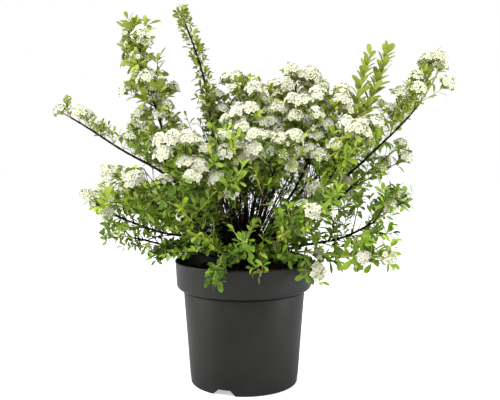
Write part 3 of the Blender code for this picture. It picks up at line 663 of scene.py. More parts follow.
def foot_directions():
    """The way each limb leaves the stool: towards its tip, but pushed apart so that no feet crowd."""
    ways = [direction(math.radians(limb.azimuth), math.radians(limb.leave)) for limb in LIMBS]
    for _ in range(FOOT_ROUNDS):
        for i, first in enumerate(ways):
            for j in range(i + 1, len(ways)):
                apart = first.angle(ways[j])
                if apart < FOOT_SPACING:
                    push = (first - ways[j]).normalized() * (FOOT_SPACING - apart) * 0.5
                    ways[i] = (ways[i] + push).normalized()
                    ways[j] = (ways[j] - push).normalized()
                    first = ways[i]
        for i, way in enumerate(ways):
            if way.z < math.sin(LOWEST_FOOT):
                ways[i] = direction(math.atan2(way.y, way.x), LOWEST_FOOT)
    return ways


def limb_path(limb, leaving):
    """Points from the stool to the limb's tip, evenly spaced, as an array."""
    azimuth = math.radians(limb.azimuth)
    foot = STOOL_CENTRE + leaving * (STOOL_RADIUS + TOUCH_GAP)
    tip = direction(azimuth, 0) * limb.reach * MM + Vector((0, 0, limb.height * MM))
    chord = (tip - foot).length
    start = leaving * chord
    end = direction(azimuth, math.radians(limb.arrive)) * chord
    side = Vector((-math.sin(azimuth), math.cos(azimuth), 0))
    phase = random.Random("path " + limb.name).uniform(0, TURN)
    points = []
    for k in range(PATH_STEPS + 1):
        t = k / PATH_STEPS
        point = (
            foot * (2 * t**3 - 3 * t**2 + 1)
            + start * (t**3 - 2 * t**2 + t)
            + tip * (3 * t**2 - 2 * t**3)
            + end * (t**3 - t**2)
        )
        calm = (4 * t * (1 - t)) ** 2
        sway = math.sin(TURN * SWAYS * t + phase) * LIMB_WANDER * chord * calm
        bob = math.cos(TURN * BOBS * t + phase) * LIMB_WANDER * 0.5 * chord * calm
        points.append(tuple(point + side * sway + Vector((0, 0, bob))))
    return np.array(points)


def lengths_along(path):
    return np.concatenate([[0], np.cumsum(np.linalg.norm(np.diff(path, axis=0), axis=1))])


def stretch(path, start, end, step):
    """The part of a path between two lengths along it, in even steps."""
    along = lengths_along(path)
    places = np.linspace(start, end, max(1, round((end - start) / step)) + 1)
    return np.stack([np.interp(places, along, path[:, axis]) for axis in range(3)], axis=1)


def limb_radius(limb, share):
    """Radius at a share of the limb's length, stouter on longer limbs."""
    stout = LEAST_STOUT + (1 - LEAST_STOUT) * min(1.0, (limb.reach + limb.height - 160) / 330)
    return (LIMB_FOOT_RADIUS + (LIMB_TIP_RADIUS - LIMB_FOOT_RADIUS) * share**0.8) * stout


def limb_stretch(limb, path, lengths, shares):
    """The points and radii of a limb between two lengths along its path."""
    points = stretch(path, *lengths, LIMB_STEP)
    return points, [limb_radius(limb, share) for share in np.linspace(*shares, len(points))]


def plan_limbs():
    """For each limb: its path, the points and radii of its bough, if it has one, and of its stem."""
    plans = []
    for limb, leaving in zip(LIMBS, foot_directions()):
        path = limb_path(limb, leaving)
        total = lengths_along(path)[-1]
        bough, split, bare = None, 0, 0
        if limb.bough:
            bare = limb.bare
            bough = limb_stretch(limb, path, (0, total * bare), (0, bare))
            split = total * bare + TOUCH_GAP
        plans.append(Plan(limb, path, bough, limb_stretch(limb, path, (split, total), (bare, 1))))
    return plans


# The corners that the source tests when it places a shoot, a leaf or a head.


def shoot_corners(root, tip):
    """The far ring of the source's three-sided twig."""
    tangent = (tip - root).normalized()
    turns = [TURN * side / TWIG_SIDES for side in range(TWIG_SIDES)]
    return [tip + around(tangent, turn) * TWIG_TIP_RADIUS for turn in turns]


def leaf_corners(root, way, face, length):
    across = way.cross(face).normalized()
    up = across.cross(way).normalized()
    width = length * LEAF_WIDTH_SHARE / 2
    middle = root + way * length * LEAF_BELLY
    return [
        middle + across * width + up * width * LEAF_CUP,
        middle - across * width + up * width * LEAF_CUP,
        root + way * length - up * length * LEAF_DROOP,
        middle + up * LEAF_THICKNESS / 2,
        middle - up * LEAF_THICKNESS / 2,
    ]


def head_corners(root, way, size):
    corners = []
    top = (HEAD_RADIUS * HEAD_TOP_SHARE, HEAD_HEIGHT - HEAD_SINK)
    for radius, height in ((HEAD_RADIUS, -HEAD_SINK), top):
        for facet in range(HEAD_FACETS):
            out = around(way, TURN * facet / HEAD_FACETS)
            corners.append(root + out * radius * size + way * height * size)
    return corners


def distances(points, starts, ends):
    """Distance from every point to every segment."""
    points = np.asarray(points)[:, None, :]
    along = (ends - starts)[None]
    share = ((points - starts[None]) * along).sum(-1) / np.maximum((along**2).sum(-1), 1e-12)
    nearest = starts[None] + np.clip(share, 0, 1)[..., None] * along
    return np.linalg.norm(points - nearest, axis=-1)


def clear_of_pot(point):
    out = math.hypot(point[0], point[1])
    if point[2] > POT_HEIGHT + POT_MARGIN or out > RIM_RADIUS + POT_MARGIN:
        return True
    inside = RIM_RADIUS - BEAD_PROUD - WALL - POT_MARGIN
    return out < inside and point[2] > SOIL_LEVEL + POT_MARGIN


def samples(corners, root, tip):
    """The piece's corners, the middles between them, and points along it close enough for the rim."""
    count = max(2, math.ceil((tip - root).length / SAMPLE_STEP) + 1)
    line = [root.lerp(tip, k / (count - 1)) for k in range(count)]
    middles = [(here + after) / 2 for here, after in zip(corners, corners[1:] + corners[:1])]
    return np.array([tuple(point) for point in corners + middles + line])


class Room:
    """Every limb's segments, and the tests that a piece of foliage has room where it would be."""

    def __init__(self, plans):
        rows = []
        for owner, plan in enumerate(plans):
            for part in (plan.bough, plan.stem):
                if part:
                    stem = part is plan.stem
                    points, radii = part
                    rows += [(*a, *b, r, owner, stem) for a, b, r in zip(points, points[1:], radii)]
        rows = np.array(rows)
        self.starts, self.ends = rows[:, :3], rows[:, 3:6]
        self.radii, self.owners, self.stems = rows[:, 6], rows[:, 7], rows[:, 8] > 0
        self.set_clear_lines(plans)

    def set_clear_lines(self, plans):
        """Lines that growth keeps clear of: in front of limbs that stand free, and through thin places."""
        lines = []
        for plan in plans:
            if plan.limb.name in SHOWN:
                ends = np.array(SHOWN[plan.limb.name]) * lengths_along(plan.path)[-1]
                shown = stretch(plan.path, *ends, SHOWN_STEP)
                lines += [(*point, SHOWN_WIDTH, 0, SHOWN_DEPTH) for point in shown]
        for (first, last), places in THIN_PLACES.items():
            lines += [(x * MM, 0, z * MM, radius * MM, first, last) for x, z, radius in places]
        lines = np.array(lines)
        self.line_starts = lines[:, :3]
        self.line_widths, self.line_lows, self.line_highs = lines[:, 3:].T
        ways = np.array(SHOWN_FROM) - self.line_starts
        self.line_ways = ways / np.linalg.norm(ways, axis=1, keepdims=True)

    def holds(self, owner, points, spread, space=SPACE_MARGIN):
        """True if points keep to the owner's own space and clear of the limbs and the pot."""
        apart = distances(points, self.starts, self.ends)
        mine = self.stems & (self.owners == owner)
        theirs = self.stems & (self.owners != owner)
        own = apart[:, mine].min(axis=1)
        if own.max() > spread or (apart[:, theirs].min(axis=1) - own).min() < space:
            return False
        if (apart - self.radii)[:, ~mine].min() < LIMB_MARGIN:
            return False
        return all(clear_of_pot(point) for point in points)

    def in_the_way(self, points):
        """True if a point lies close in front of a limb that stands free, or in an opening."""
        offsets = np.asarray(points)[:, None] - self.line_starts[None]
        ahead = (offsets * self.line_ways[None]).sum(-1)
        aside = np.linalg.norm(offsets - ahead[..., None] * self.line_ways[None], axis=-1)
        near = (ahead > self.line_lows) & (ahead < self.line_highs) & (aside < self.line_widths)
        return bool(near.any())

    def clears(self, points, margin):
        """True if the points touch no limb, nor the pot."""
        if (distances(points, self.starts, self.ends) - self.radii).min() < margin:
            return False
        return all(clear_of_pot(point) for point in points)


class Mass:
    """Where the source puts one mass's shoots, heads and large leaves."""

    def __init__(self, owner, limb, room):
        self.owner = owner
        self.limb = limb
        self.room = room
        self.shoots = []
        self.blades = []
        self.crowd = []

    def has_room(self, corners, root, tip):
        points = samples(corners, root, tip)
        if self.crowd:
            apart = np.linalg.norm(points[: len(corners), None] - np.array(self.crowd)[None], axis=-1)
            if apart.min() < CROWDING:
                return False
        return self.room.holds(self.owner, points, self.limb.spread * MM)

    def fill(self, outer):
        self.crowd += [tuple(corner) for corner in outer]
        self.crowd.append(tuple(sum(outer, Vector()) / len(outer)))

    def add_leaf(self, rng, root, along, angle):
        length = self.limb.leaf * MM * rng.uniform(*LEAF_LENGTHS)
        for _ in range(LEAF_TRIES):
            way = (along * LEAF_ALONG + around(along, angle) + UP * LEAF_UP).normalized()
            corners = leaf_corners(root, way, along, length)
            if self.has_room(corners, root + way * FOOT_LENGTH, root + way * length):
                self.blades.append(Blade(root, way, length))
                self.fill(corners)
                return
            angle += GOLDEN_ANGLE

    def add_shoot(self, rng, root, tangent, angle, taper):
        flowering = rng.random() < self.limb.blossom
        for _ in range(TRIES):
            lean = rng.uniform(*SHOOT_LEAN)
            way = (tangent * SHOOT_ALONG + around(tangent, angle) * lean + UP * SHOOT_UP).normalized()
            if self.limb.name in RISING and way.z < RISING_SLOPE:
                angle += rng.uniform(*TURN_AGAIN)
                continue
            tip = root + way * self.limb.shoot * MM * rng.uniform(*SHOOT_LENGTHS) * taper
            axis = (way + UP * HEAD_UP).normalized()
            size = rng.uniform(*HEAD_SIZES)
            head = head_corners(tip, axis, size)
            fits = self.has_room(shoot_corners(root, tip), root + way * FOOT_LENGTH, tip)
            if fits and flowering:
                fits = self.has_room(head, tip, tip + axis * HEAD_HEIGHT)
            if fits:
                break
            angle += rng.uniform(*TURN_AGAIN)
            taper *= SHORTER
        else:
            return
        self.shoots.append(Shoot(root, tip, flowering, axis, size))
        if flowering:
            self.fill(head)
        count = LEAVES_BY_HEAD if flowering else LEAVES_ALONE
        turn = rng.uniform(0, TURN)
        for k in range(count):
            share = LEAVES_FROM + LEAVES_OVER * (k + 0.5) / count
            self.add_leaf(rng, root.lerp(tip, share), way, turn + k * GOLDEN_ANGLE)

    def add_tip(self, rng, tip, way):
        if self.limb.blossom > TIP_FLOWERS_ABOVE:
            axis = (way + UP * TIP_HEAD_UP).normalized()
            self.shoots.append(Shoot(tip - way * TIP_STALK, tip, True, axis, 1.0))
            self.fill(head_corners(tip, axis, 1.0))
        else:
            self.add_leaf(rng, tip - way * MM, way, 0)


def grow_mass(owner, limb, room, stem):
    """The source's shoots of one mass, from the end of its bare share to its tip."""
    rng = random.Random("mass " + limb.name)
    mass = Mass(owner, limb, room)
    path = [Vector(point) for point in stem]
    bare = 0 if limb.bough else limb.bare
    mass.add_tip(rng, path[-1], (path[-1] - path[-2]).normalized())
    angle = rng.uniform(0, TURN)
    for k in range(limb.shoots):
        share = bare + (1 - bare) * (k + rng.uniform(*SHOOT_PLACES)) / limb.shoots
        spot = share * (len(path) - 1)
        low = min(int(spot), len(path) - 2)
        tangent = (path[low + 1] - path[low]).normalized()
        root = path[low].lerp(path[low + 1], spot - low)
        mass.add_shoot(rng, root, tangent, angle, 1 - TAPER_TO_TIP * share)
        angle += GOLDEN_ANGLE
    return mass


# Joined meshes.


def link(name, data):
    """A new object in the scene."""
    thing = bpy.data.objects.new(name, data)
    bpy.context.scene.collection.objects.link(thing)
    return thing


class Heap:
    """Many small shapes of one kind, which end as one joined mesh of triangles."""

    def __init__(self):
        self.parts = []
        self.count = 0

    def add(self, points, faces, slots=0):
        """Adds points (n, 3) and faces (m, 3), with one slot number or one for each face."""
        self.parts.append((points, faces + self.count, np.broadcast_to(slots, len(faces))))
        self.count += len(points)

    def add_copies(self, points, faces, slots=0):
        """Adds points (copies, n, 3) with one copy's faces, and slots that fit (copies, faces)."""
        copies, each = points.shape[:2]
        every = faces[None] + np.arange(copies)[:, None, None] * each
        slots = np.broadcast_to(slots, (copies, len(faces))).ravel()
        self.add(points.reshape(-1, 3), every.reshape(-1, 3), slots)

    def build(self, name, materials, smooth=True):
        points, faces, slots = (np.concatenate(column) for column in zip(*self.parts))
        mesh = bpy.data.meshes.new(name)
        mesh.vertices.add(len(points))
        mesh.vertices.foreach_set("co", points.astype(np.float32).ravel())
        mesh.loops.add(faces.size)
        mesh.loops.foreach_set("vertex_index", faces.astype(np.int32).ravel())
        mesh.polygons.add(len(faces))
        mesh.polygons.foreach_set("loop_start", np.arange(0, faces.size, 3, dtype=np.int32))
        mesh.polygons.foreach_set("material_index", slots.astype(np.int32))
        mesh.polygons.foreach_set("use_smooth", np.full(len(faces), smooth))
        mesh.update(calc_edges=True)
        for material in materials:
            mesh.materials.append(material)
        return link(name, mesh)


def unit(rows):
    return rows / np.linalg.norm(rows, axis=1, keepdims=True)


def stamp(local, origins, axes):
    """Copies of local points (n, 3) or (copies, n, 3), each in its own axes: an array (copies, n, 3)."""
    points = origins[:, None]
    for k, axis in enumerate(axes):
        points = points + local[..., k : k + 1] * axis[:, None]
    return points


def ring_faces(rings, sides, capped=True):
    """Triangles of a tube of rings of corners, with fans over both ends."""
    faces = []
    for low in range(0, (rings - 1) * sides, sides):
        for side in range(sides):
            after = (side + 1) % sides
            faces.append((low + side, low + after, low + sides + after))
            faces.append((low + side, low + sides + after, low + sides + side))
    if capped:
        last = (rings - 1) * sides
        faces += [(0, k + 1, k) for k in range(1, sides - 1)]
        faces += [(last, last + k, last + k + 1) for k in range(1, sides - 1)]
    return np.array(faces)


def dome_faces(rings, sides):
    """Triangles of rings of corners between a first point and a last point."""
    last = 1 + rings * sides
    low = last - sides
    first_fan = [(0, 1 + (k + 1) % sides, 1 + k) for k in range(sides)]
    last_fan = [(last, low + k, low + (k + 1) % sides) for k in range(sides)]
    return np.concatenate([first_fan, ring_faces(rings, sides, capped=False) + 1, last_fan])


RING_FACES = {}


def tube(points, radii, sides):
    """A closed tapering tube, as points and triangles. radii has one number a ring, or one a corner."""
    points = np.asarray(points)
    tangents = unit(np.gradient(points, axis=0))
    across = np.empty_like(points)
    side_way = Vector(tangents[0]).orthogonal().normalized()
    for ring, tangent in enumerate(tangents):
        tangent = Vector(tangent)
        side_way = (side_way - tangent * side_way.dot(tangent)).normalized()
        across[ring] = side_way
    over = np.cross(tangents, across)
    angles = 2 * np.pi * np.arange(sides) / sides
    out = across[:, None] * np.cos(angles)[None, :, None] + over[:, None] * np.sin(angles)[None, :, None]
    radii = np.asarray(radii)
    radii = radii[:, None] if radii.ndim == 1 else radii
    corners = points[:, None] + out * radii[..., None]
    key = (len(points), sides)
    if key not in RING_FACES:
        RING_FACES[key] = ring_faces(*key)
    return corners.reshape(-1, 3), RING_FACES[key]


# Fine growth.


class Arc:
    """A gently bowed line from a root to a tip."""

    def __init__(self, root, tip, bow):
        self.root = root
        self.tip = tip
        self.control = (root + tip) / 2 + bow
        self.length = (tip - root).length

    def at(self, share):
        return (
            self.root * (1 - share) ** 2
            + self.control * 2 * share * (1 - share)
            + self.tip * share**2
        )

    def way(self, share):
        return (self.control - self.root).lerp(self.tip - self.control, share).normalized()

    def points(self, count):
        return [tuple(self.at(k / (count - 1))) for k in range(count)]

    def end_way(self):
        """The way of its tip, turned up to the light."""
        return (self.way(1) + UP * END_UP).normalized()


class Line:
    """A limb's path, with its point and its way at a length along it."""

    def __init__(self, path):
        self.path = path
        self.along = lengths_along(path)
        self.total = self.along[-1]

    def place(self, length):
        return Vector([np.interp(length, self.along, self.path[:, axis]) for axis in range(3)])

    def at(self, length):
        way = self.place(length + WAY_STEP) - self.place(length - WAY_STEP)
        return self.place(length), way.normalized()


def lean_out(along, angle, opening, lift):
    """A way that leans out from along by opening in degrees, turned round it by angle, then lifted."""
    opening = math.radians(opening)
    out = (along * math.cos(opening) + around(along, angle) * math.sin(opening)).normalized()
    return (out + UP * lift).normalized()


class Spray:
    """The leaves, shoots and blossom of one side of the plant, before they are joined."""

    def __init__(self, room):
        self.room = room
        self.low, self.high = CAD_BOX
        self.twigs = Heap()
        self.leaves, self.heads = [], []
        self.flowers, self.buds, self.pedicels, self.cushions = [], [], [], []

    def take_limb(self, owner, limb):
        """Sets whose growth comes next, and its box: that of the limb's own solids, and a little more."""
        self.owner = owner
        self.limb = limb
        self.habit = habit = HABITS.get(limb.name, USUAL)
        self.kind = Leaves(habit.leaf * MM, LEAF_GAP * habit.gap, habit.wide)
        boxes = [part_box("mass_" + limb.name)]
        if limb.bough:
            boxes.append(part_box("bough_" + limb.name))
        lows = [min(box[0][axis] for box in boxes) - SIDE_MARGIN for axis in range(3)]
        highs = [max(box[1][axis] for box in boxes) + SIDE_MARGIN for axis in range(3)]
        highs[2] += TOP_MARGIN - SIDE_MARGIN
        self.low = [max(low, edge - REACH_MARGIN) for low, edge in zip(lows, CAD_BOX[0])]
        self.high = [min(high, edge + REACH_MARGIN) for high, edge in zip(highs, CAD_BOX[1])]

    def reaches(self, points, lift=0.0):
        """True if the points keep to the box, whose top is lifted, and touch no limb, nor the pot."""
        high = (self.high[0], self.high[1], min(self.high[2] + lift, CAD_BOX[1][2] + REACH_MARGIN))
        for point in points:
            if any(point[axis] < self.low[axis] or point[axis] > high[axis] for axis in range(3)):
                return False
        return not self.room.in_the_way(points) and self.room.clears(points, LEAF_CLEARANCE)

    def lean(self, along, turn, lean):
        """The way of a shoot that leans out from along."""
        return lean_out(along, turn, self.rng.uniform(lean.least, lean.most), lean.lift)

    def leaf_way(self, along, turn, lean, share):
        """The way of a leaf at a share of its shoot, closer to it towards its tip."""
        opening = lean.foot - lean.fall * share + self.rng.uniform(-lean.wobble, lean.wobble)
        return lean_out(along, turn, opening, lean.lift)

    def jitter(self, most):
        return Vector([self.rng.uniform(-most, most) for _ in range(3)])

    def pick_tint(self, place, brighter=0.0):
        """A leaf colour for one shoot: brighter further out and up, deeper in the heart of the bush,
        partly as painted shade.
        """
        out = (place - TINT_CENTRE).length / TINT_REACH
        light = self.habit.light + brighter
        level = TINT_INSIDE + TINT_OUTSIDE * min(1, out) + 0.5 * (light - 0.5)
        level += self.rng.gauss(0, TINT_SPREAD)
        depth = max(0, min(len(LEAF_TINTS) - 1, int((1 - level) * len(LEAF_TINTS))))
        # Growth lower down takes the shaded copy of its tint: partly painted shade.
        sunny = self.rng.random() < np.interp(place.z / MM, SUNNY_HEIGHTS, (0, 1))
        return depth if sunny else depth + len(LEAF_TINTS)

    def pick_young(self, share):
        """The colour of a shoot: its limb's own young wood, or green."""
        return self.habit.young if self.rng.random() < share else "green"

    def shoot(self, points, radii, tint, sides=4):
        """A shoot through points. radii are given for each of them, or for the foot and the tip."""
        if len(radii) == 2:
            radii = np.linspace(*radii, len(points))
        self.twigs.add(*tube(points, radii, sides), SHOOT_TINTS.index(tint))

    def leaf(self, root, way, along, length, tint, wide):
        """One leaf, if it fits, its upper face turned to its shoot's tip and to the light."""
        across = way.cross(along * FACE_ALONG + UP * FACE_UP + self.jitter(FACE_JITTER))
        if across.length < LEAST_ACROSS:
            across = way.orthogonal()
        across.normalize()
        width = length * wide * self.rng.uniform(*WIDTH_SPREAD)
        middle = root + way * length * LEAF_MIDDLE
        if self.reaches((middle + across * width, middle - across * width, root + way * length)):
            fold = self.rng.uniform(*LEAF_FOLD)
            curl = self.rng.uniform(*LEAF_CURL)
            up = across.cross(way)
            self.leaves.append((*root, *across, *way, *up, length, width, fold, curl, tint))

    def leaves_along(self, arc, start, end, tint, kind=None):
        """Alternate leaves up a shoot, smaller at its foot, lying closer to it towards its tip."""
        size, gap, wide = kind or self.kind
        gap = gap * min(1, size / (USUAL.leaf * MM))
        count = max(2, round(arc.length * (end - start) / gap))
        turn = self.rng.uniform(0, TURN)
        for k in range(count):
            share = start + (end - start) * (k + 0.5) / count
            along = arc.way(share)
            way = self.leaf_way(along, turn, LEAF_LEAN, share)
            full = 0.7 + 0.3 * math.sin(math.pi * min(1, 0.2 + share * 0.75))
            length = size * full * self.rng.uniform(*LEAF_SPREAD)
            self.leaf(arc.at(share), way, along, length, tint, wide)
            turn += GOLDEN_ANGLE + self.rng.uniform(-LEAF_STRAY, LEAF_STRAY)

    def spur(self, root, way, tint, count=SPUR_LEAVES, length=SPUR_LENGTH, kind=None):
        """A short side shoot that is mostly a tuft of leaves."""
        size, _, wide = kind or self.kind
        tip = root + way * length * self.rng.uniform(*LENGTH_SPREAD)
        if not self.reaches([tip + way * size * 0.5]):
            return
        arc = Arc(root, tip, UP * SPUR_BOW)
        self.shoot(arc.points(3), SPUR_RADII, "green", 3)
        turn = self.rng.uniform(0, TURN)
        count = max(2, count + self.rng.choice((-1, 0, 0, 1)))
        for k in range(count):
            share = TUFT_FROM + (1 - TUFT_FROM) * (k + 1) / count
            out = self.leaf_way(arc.way(share), turn, TUFT_LEAN, k / count)
            self.leaf(arc.at(share), out, way, size * self.rng.uniform(*TUFT_SPREAD), tint, wide)
            turn += GOLDEN_ANGLE

    def head(self, tip, axis, size, stage):
        """A domed corymb: pedicels that fan from the shoot's end, each with a flower or a bud on it."""
        rng = self.rng
        self.heads.append(tip)
        across = axis.orthogonal().normalized()
        over = axis.cross(across)
        open_share, radius_share, height_share = STAGES[stage]
        radius = DOME_RADIUS * size * radius_share
        height = DOME_HEIGHT * size * height_share
        count = round(FLOWERS * size * rng.uniform(*FLOWERS_SPREAD))
        phase = rng.uniform(0, TURN)
        inner = (radius - CUSHION_DEPTH, height - CUSHION_DEPTH)
        self.cushions.append((*tip, *across, *over, *axis, *inner))
        for k in range(count):
            share = ((k + 0.5) / count) ** CROWDED_RIM
            out = around(axis, phase + k * GOLDEN_ANGLE)
            rise = height * (1 - DOME_FALL * share**2) * rng.uniform(*DOME_SPREAD)
            place = tip + axis * rise + out * radius * share * rng.uniform(*DOME_SPREAD)
            normal = (axis * (FLOWER_UP - FLOWER_UP_FALL * share) + out * share).normalized()
            normal = (normal + self.jitter(FLOWER_JITTER)).normalized()
            base = tip - axis * (1 + PEDICEL_DROP * share) * MM
            middle = base.lerp(place, PEDICEL_BEND) + axis * PEDICEL_BOW
            self.pedicels.append((*base, *middle, *place))
            if rng.random() < open_share:
                wide = FLOWER_RADIUS * rng.uniform(*FLOWER_SPREAD)
                side = around(normal, rng.uniform(0, TURN))
                high = wide * rng.uniform(*FLOWER_CUP)
                self.flowers.append((*place, *side, *normal.cross(side), *normal, wide, high))
            else:
                slot = BUD_GREEN if rng.random() < GREEN_BUDS else BUD_CREAM
                self.buds.append((*place, *normal, BUD_RADIUS * rng.uniform(*BUD_SPREAD), slot))

    def pick_stage(self):
        return self.rng.choices(tuple(STAGES), STAGE_SHARES)[0]

    def end_shoot(self, tip, way, tint):
        """What a shoot ends in: a head if there is room, when it answers True, or a tuft of leaves."""
        apart = min(((tip - other).length for other in self.heads), default=1)
        chance = self.limb.blossom * self.habit.heads
        chance *= np.interp(tip.z / MM, BLOSSOM_HEIGHTS, BLOSSOM_SHARES)
        willing = self.rng.random() < chance and tip.z < self.habit.top * MM
        side = way.orthogonal().normalized() * DOME_RADIUS
        ring = [tip + way * DOME_HEIGHT, tip + side, tip - side]
        if willing and apart > HEAD_SPACING and self.reaches(ring, HEAD_LIFT):
            self.head(tip, way, self.rng.uniform(*HEAD_SPREAD) * self.habit.head, self.pick_stage())
            return True
        self.spur(tip, way, tint, END_LEAVES)
        return False

    def side_shoot(self, arc, kind, tint):
        """A green side shoot along an arc, leafy all the way."""
        self.shoot(arc.points(kind.rings), (kind.radius, SHOOT_TIP_RADIUS), self.pick_young(kind.young))
        headed = self.end_shoot(arc.tip, arc.end_way(), tint)
        self.leaves_along(arc, kind.start, UNDER_HEAD if headed else SHOOT_END, tint)

    def lateral(self, root, along, angle):
        """A green side shoot that turns up to the light."""
        length = LATERAL_LENGTH * self.rng.uniform(*LENGTH_SPREAD)
        way = self.lean(along, angle, LATERAL_LEAN)
        tip = root + way * length + UP * length * LATERAL_RISE
        if self.reaches([tip + way * self.habit.leaf * 0.5 * MM]):
            arc = Arc(root, tip, -UP * length * SHOOT_SAG)
            self.side_shoot(arc, LATERAL, self.pick_tint(tip, LATERAL.brighter))

    def upright(self, root, tangent):
        """A leafy green lateral that rises nearly upright from its limb, with a head where it fits."""
        side = tangent.cross(UP).normalized()
        steep = UP + tangent * self.rng.uniform(*UPRIGHT_ALONG) + side * self.rng.uniform(*UPRIGHT_ASIDE)
        length = self.limb.shoot * MM * self.rng.uniform(*UPRIGHT_LENGTHS) * self.habit.tall
        arc = Arc(root, root + steep.normalized() * length, tangent * length * UPRIGHT_BOW)
        tint = self.pick_tint(arc.tip, UPRIGHT.brighter)
        if self.reaches([arc.tip + arc.way(1) * self.habit.leaf * 0.5 * MM]):
            self.side_shoot(arc, UPRIGHT, tint)

    def fit_branch(self, root, tangent, angle, length, most):
        """The line of a side branch that keeps to its mass's space, or None."""
        length *= min(most, self.limb.spread / USUAL_SPREAD)
        for attempt in range(BRANCH_TRIES):
            span = length * self.rng.uniform(*BRANCH_SPREAD) * (BRANCH_SHORTER**attempt)
            way = self.lean(tangent, angle, BRANCH_LEAN)
            arc = Arc(root, root + way * span, -UP * span * SHOOT_SAG)
            path = np.array(arc.points(6)[1:])
            fits = self.room.holds(self.owner, path, self.limb.spread * MM, FINE_SPACE_MARGIN)
            if fits and self.reaches([arc.tip + way * BRANCH_CLEARANCE]):
                return arc
            angle += BRANCH_TURN
        return None

    def branch(self, root, tangent, angle):
        """A thin old side branch with spurs and green shoots up it."""
        arc = self.fit_branch(root, tangent, angle, BRANCH_LENGTH, WIDE_SPREAD)
        if arc is None:
            return
        slim = min(1.0, BRANCH_SLIM + arc.length / BRANCH_STOUT_FROM)
        self.shoot(arc.points(7), np.linspace(BRANCH_RADIUS, BRANCH_TIP_RADIUS, 7) * slim, "old", 5)
        count = max(2, round(arc.length * BRANCH_LEAFY / SPUR_ROWS.gap))
        turn = self.rng.uniform(0, TURN)
        for k in range(count):
            share = BRANCH_BARE + (1 - BRANCH_BARE) * (k + self.rng.uniform(*SPUR_PLACES)) / count
            place = arc.at(share)
            if self.rng.random() < LATERAL_SHARE:
                self.lateral(place, arc.way(share), turn)
            else:
                tint = self.pick_tint(place)
                self.spur(place, self.lean(arc.way(share), turn, BRANCH_SPUR_LEAN), tint)
            turn += GOLDEN_ANGLE
        self.end_shoot(arc.tip, arc.end_way(), self.pick_tint(arc.tip))

    def runner(self, root, tangent, angle):
        """A long pale new shoot with narrow leaves that stands out of the mass."""
        arc = self.fit_branch(root, tangent, angle, RUNNER_LENGTH, 1)
        if arc:
            tint = self.rng.choice(RUNNER_TINTS)
            self.shoot(arc.points(7), RUNNER_RADII, "green")
            self.leaves_along(arc, RUNNER_LEAVES_FROM, SHOOT_END, tint, RUNNER_LEAVES)
            self.spur(arc.tip, arc.way(1), tint, SPUR_LEAVES, RUNNER_TIP_LENGTH, RUNNER_TIP_LEAVES)

    def dress_shoot(self, shoot):
        """One of the source's shoots: bowed, leafy all the way up, and with a true head if it flowers."""
        rng, habit = self.rng, self.habit
        span = shoot.tip - shoot.root
        if not habit.under and span.length > TIP_SHOOT and span.normalized().z < RISING_SLOPE:
            return
        sideways = span.orthogonal().normalized()
        sideways = sideways * rng.uniform(-1, 1) + span.normalized().cross(sideways) * rng.uniform(-1, 1)
        bow = sideways * span.length * SHOOT_SWAY - UP * span.length * SHOOT_DROOP
        arc = Arc(shoot.root, shoot.tip, bow)
        if self.room.in_the_way([shoot.tip]):
            return
        tint = self.pick_tint(shoot.tip)
        self.shoot(arc.points(5), (SHOOT_RADIUS, SHOOT_TIP_RADIUS), self.pick_young(SHOOT_YOUNG))
        flowering = shoot.flowering and shoot.tip.z < habit.top * MM
        self.leaves_along(arc, SHOOT_LEAVES_FROM, UNDER_HEAD if flowering else SHOOT_END, tint)
        if flowering:
            stage = "bud" if habit.head <= BUDS_BELOW else self.pick_stage()
            self.head(shoot.tip, shoot.axis, shoot.size * habit.head, stage)

    def dress_blade(self, blade):
        """One of the source's large leaves becomes a small leafy side shoot of the same reach."""
        if self.habit.under or blade.way.z >= UPWARD:
            rest = max(BLADE_SPUR_LEAST, blade.length - self.kind.size * BLADE_LEAF_REACH)
            tint = self.pick_tint(blade.root)
            self.spur(blade.root, blade.way, tint, SPUR_LEAVES, rest / BLADE_SPUR_SHORTER)

    def stations(self, line, rows, first, share, ratio=1):
        """Places along a limb, from a share of its length on, closer together for a larger share."""
        length = line.total * (first or max(rows.least, self.limb.bare - rows.early))
        while share and length < line.total * rows.end:
            yield line.at(length)
            length += rows.gap * self.rng.uniform(*rows.spread) / share * ratio

    def fine_growth(self, path):
        """Spurs, side branches, uprights and runners all along the leafy share of one limb."""
        limb, habit = self.limb, self.habit
        line = Line(path)
        turn = self.rng.uniform(0, TURN)
        first = max(FIRST_GROWTH, limb.bare - habit.early) if limb.bough else None
        ratio = (habit.leaf / USUAL.leaf) ** SPUR_GAP_GROWTH
        for root, way in self.stations(line, SPUR_ROWS, first, habit.spurs, ratio):
            out = self.lean(way, turn, SPUR_LEAN)
            tint = self.pick_tint(root)
            if habit.spurs >= MANY_SPURS or out.z > UPWARD:
                self.spur(root + out * 0.5 * MM, out, tint, length=habit.tuft * MM)
            turn += GOLDEN_ANGLE
        for root, way in self.stations(line, BRANCH_ROWS, first, habit.branches):
            self.branch(root, way, turn)
            turn += GOLDEN_ANGLE
        for root, way in self.stations(line, UPRIGHT_ROWS, None, habit.laterals):
            self.upright(root, way)
        for k in range(RUNNERS if limb.name in RUNNER_LIMBS else 0):
            share = limb.bare + (1 - limb.bare) * RUNNERS_UP_TO * (k + 0.5) / RUNNERS
            self.runner(*line.at(line.total * share), turn)
            turn += GOLDEN_ANGLE

    def large_leaves(self, along, count, turn):
        """Long light leaves held up along a shoot. along gives its point and way at a share of it."""
        for k in range(count):
            share = (k + 0.7) / count
            place, way = along(share)
            out = self.leaf_way(way, turn, LARGE_LEAF_LEAN, share)
            full = LARGE_LEAF_FOOT + LARGE_LEAF_SWELL * math.sin(math.pi * share)
            full *= self.rng.uniform(*LARGE_LEAF_SPREAD)
            tint = self.rng.choice(LARGE_LEAF_TINTS)
            self.leaf(place, out, way, self.kind.size * full, tint, self.kind.wide)
            turn += GOLDEN_ANGLE

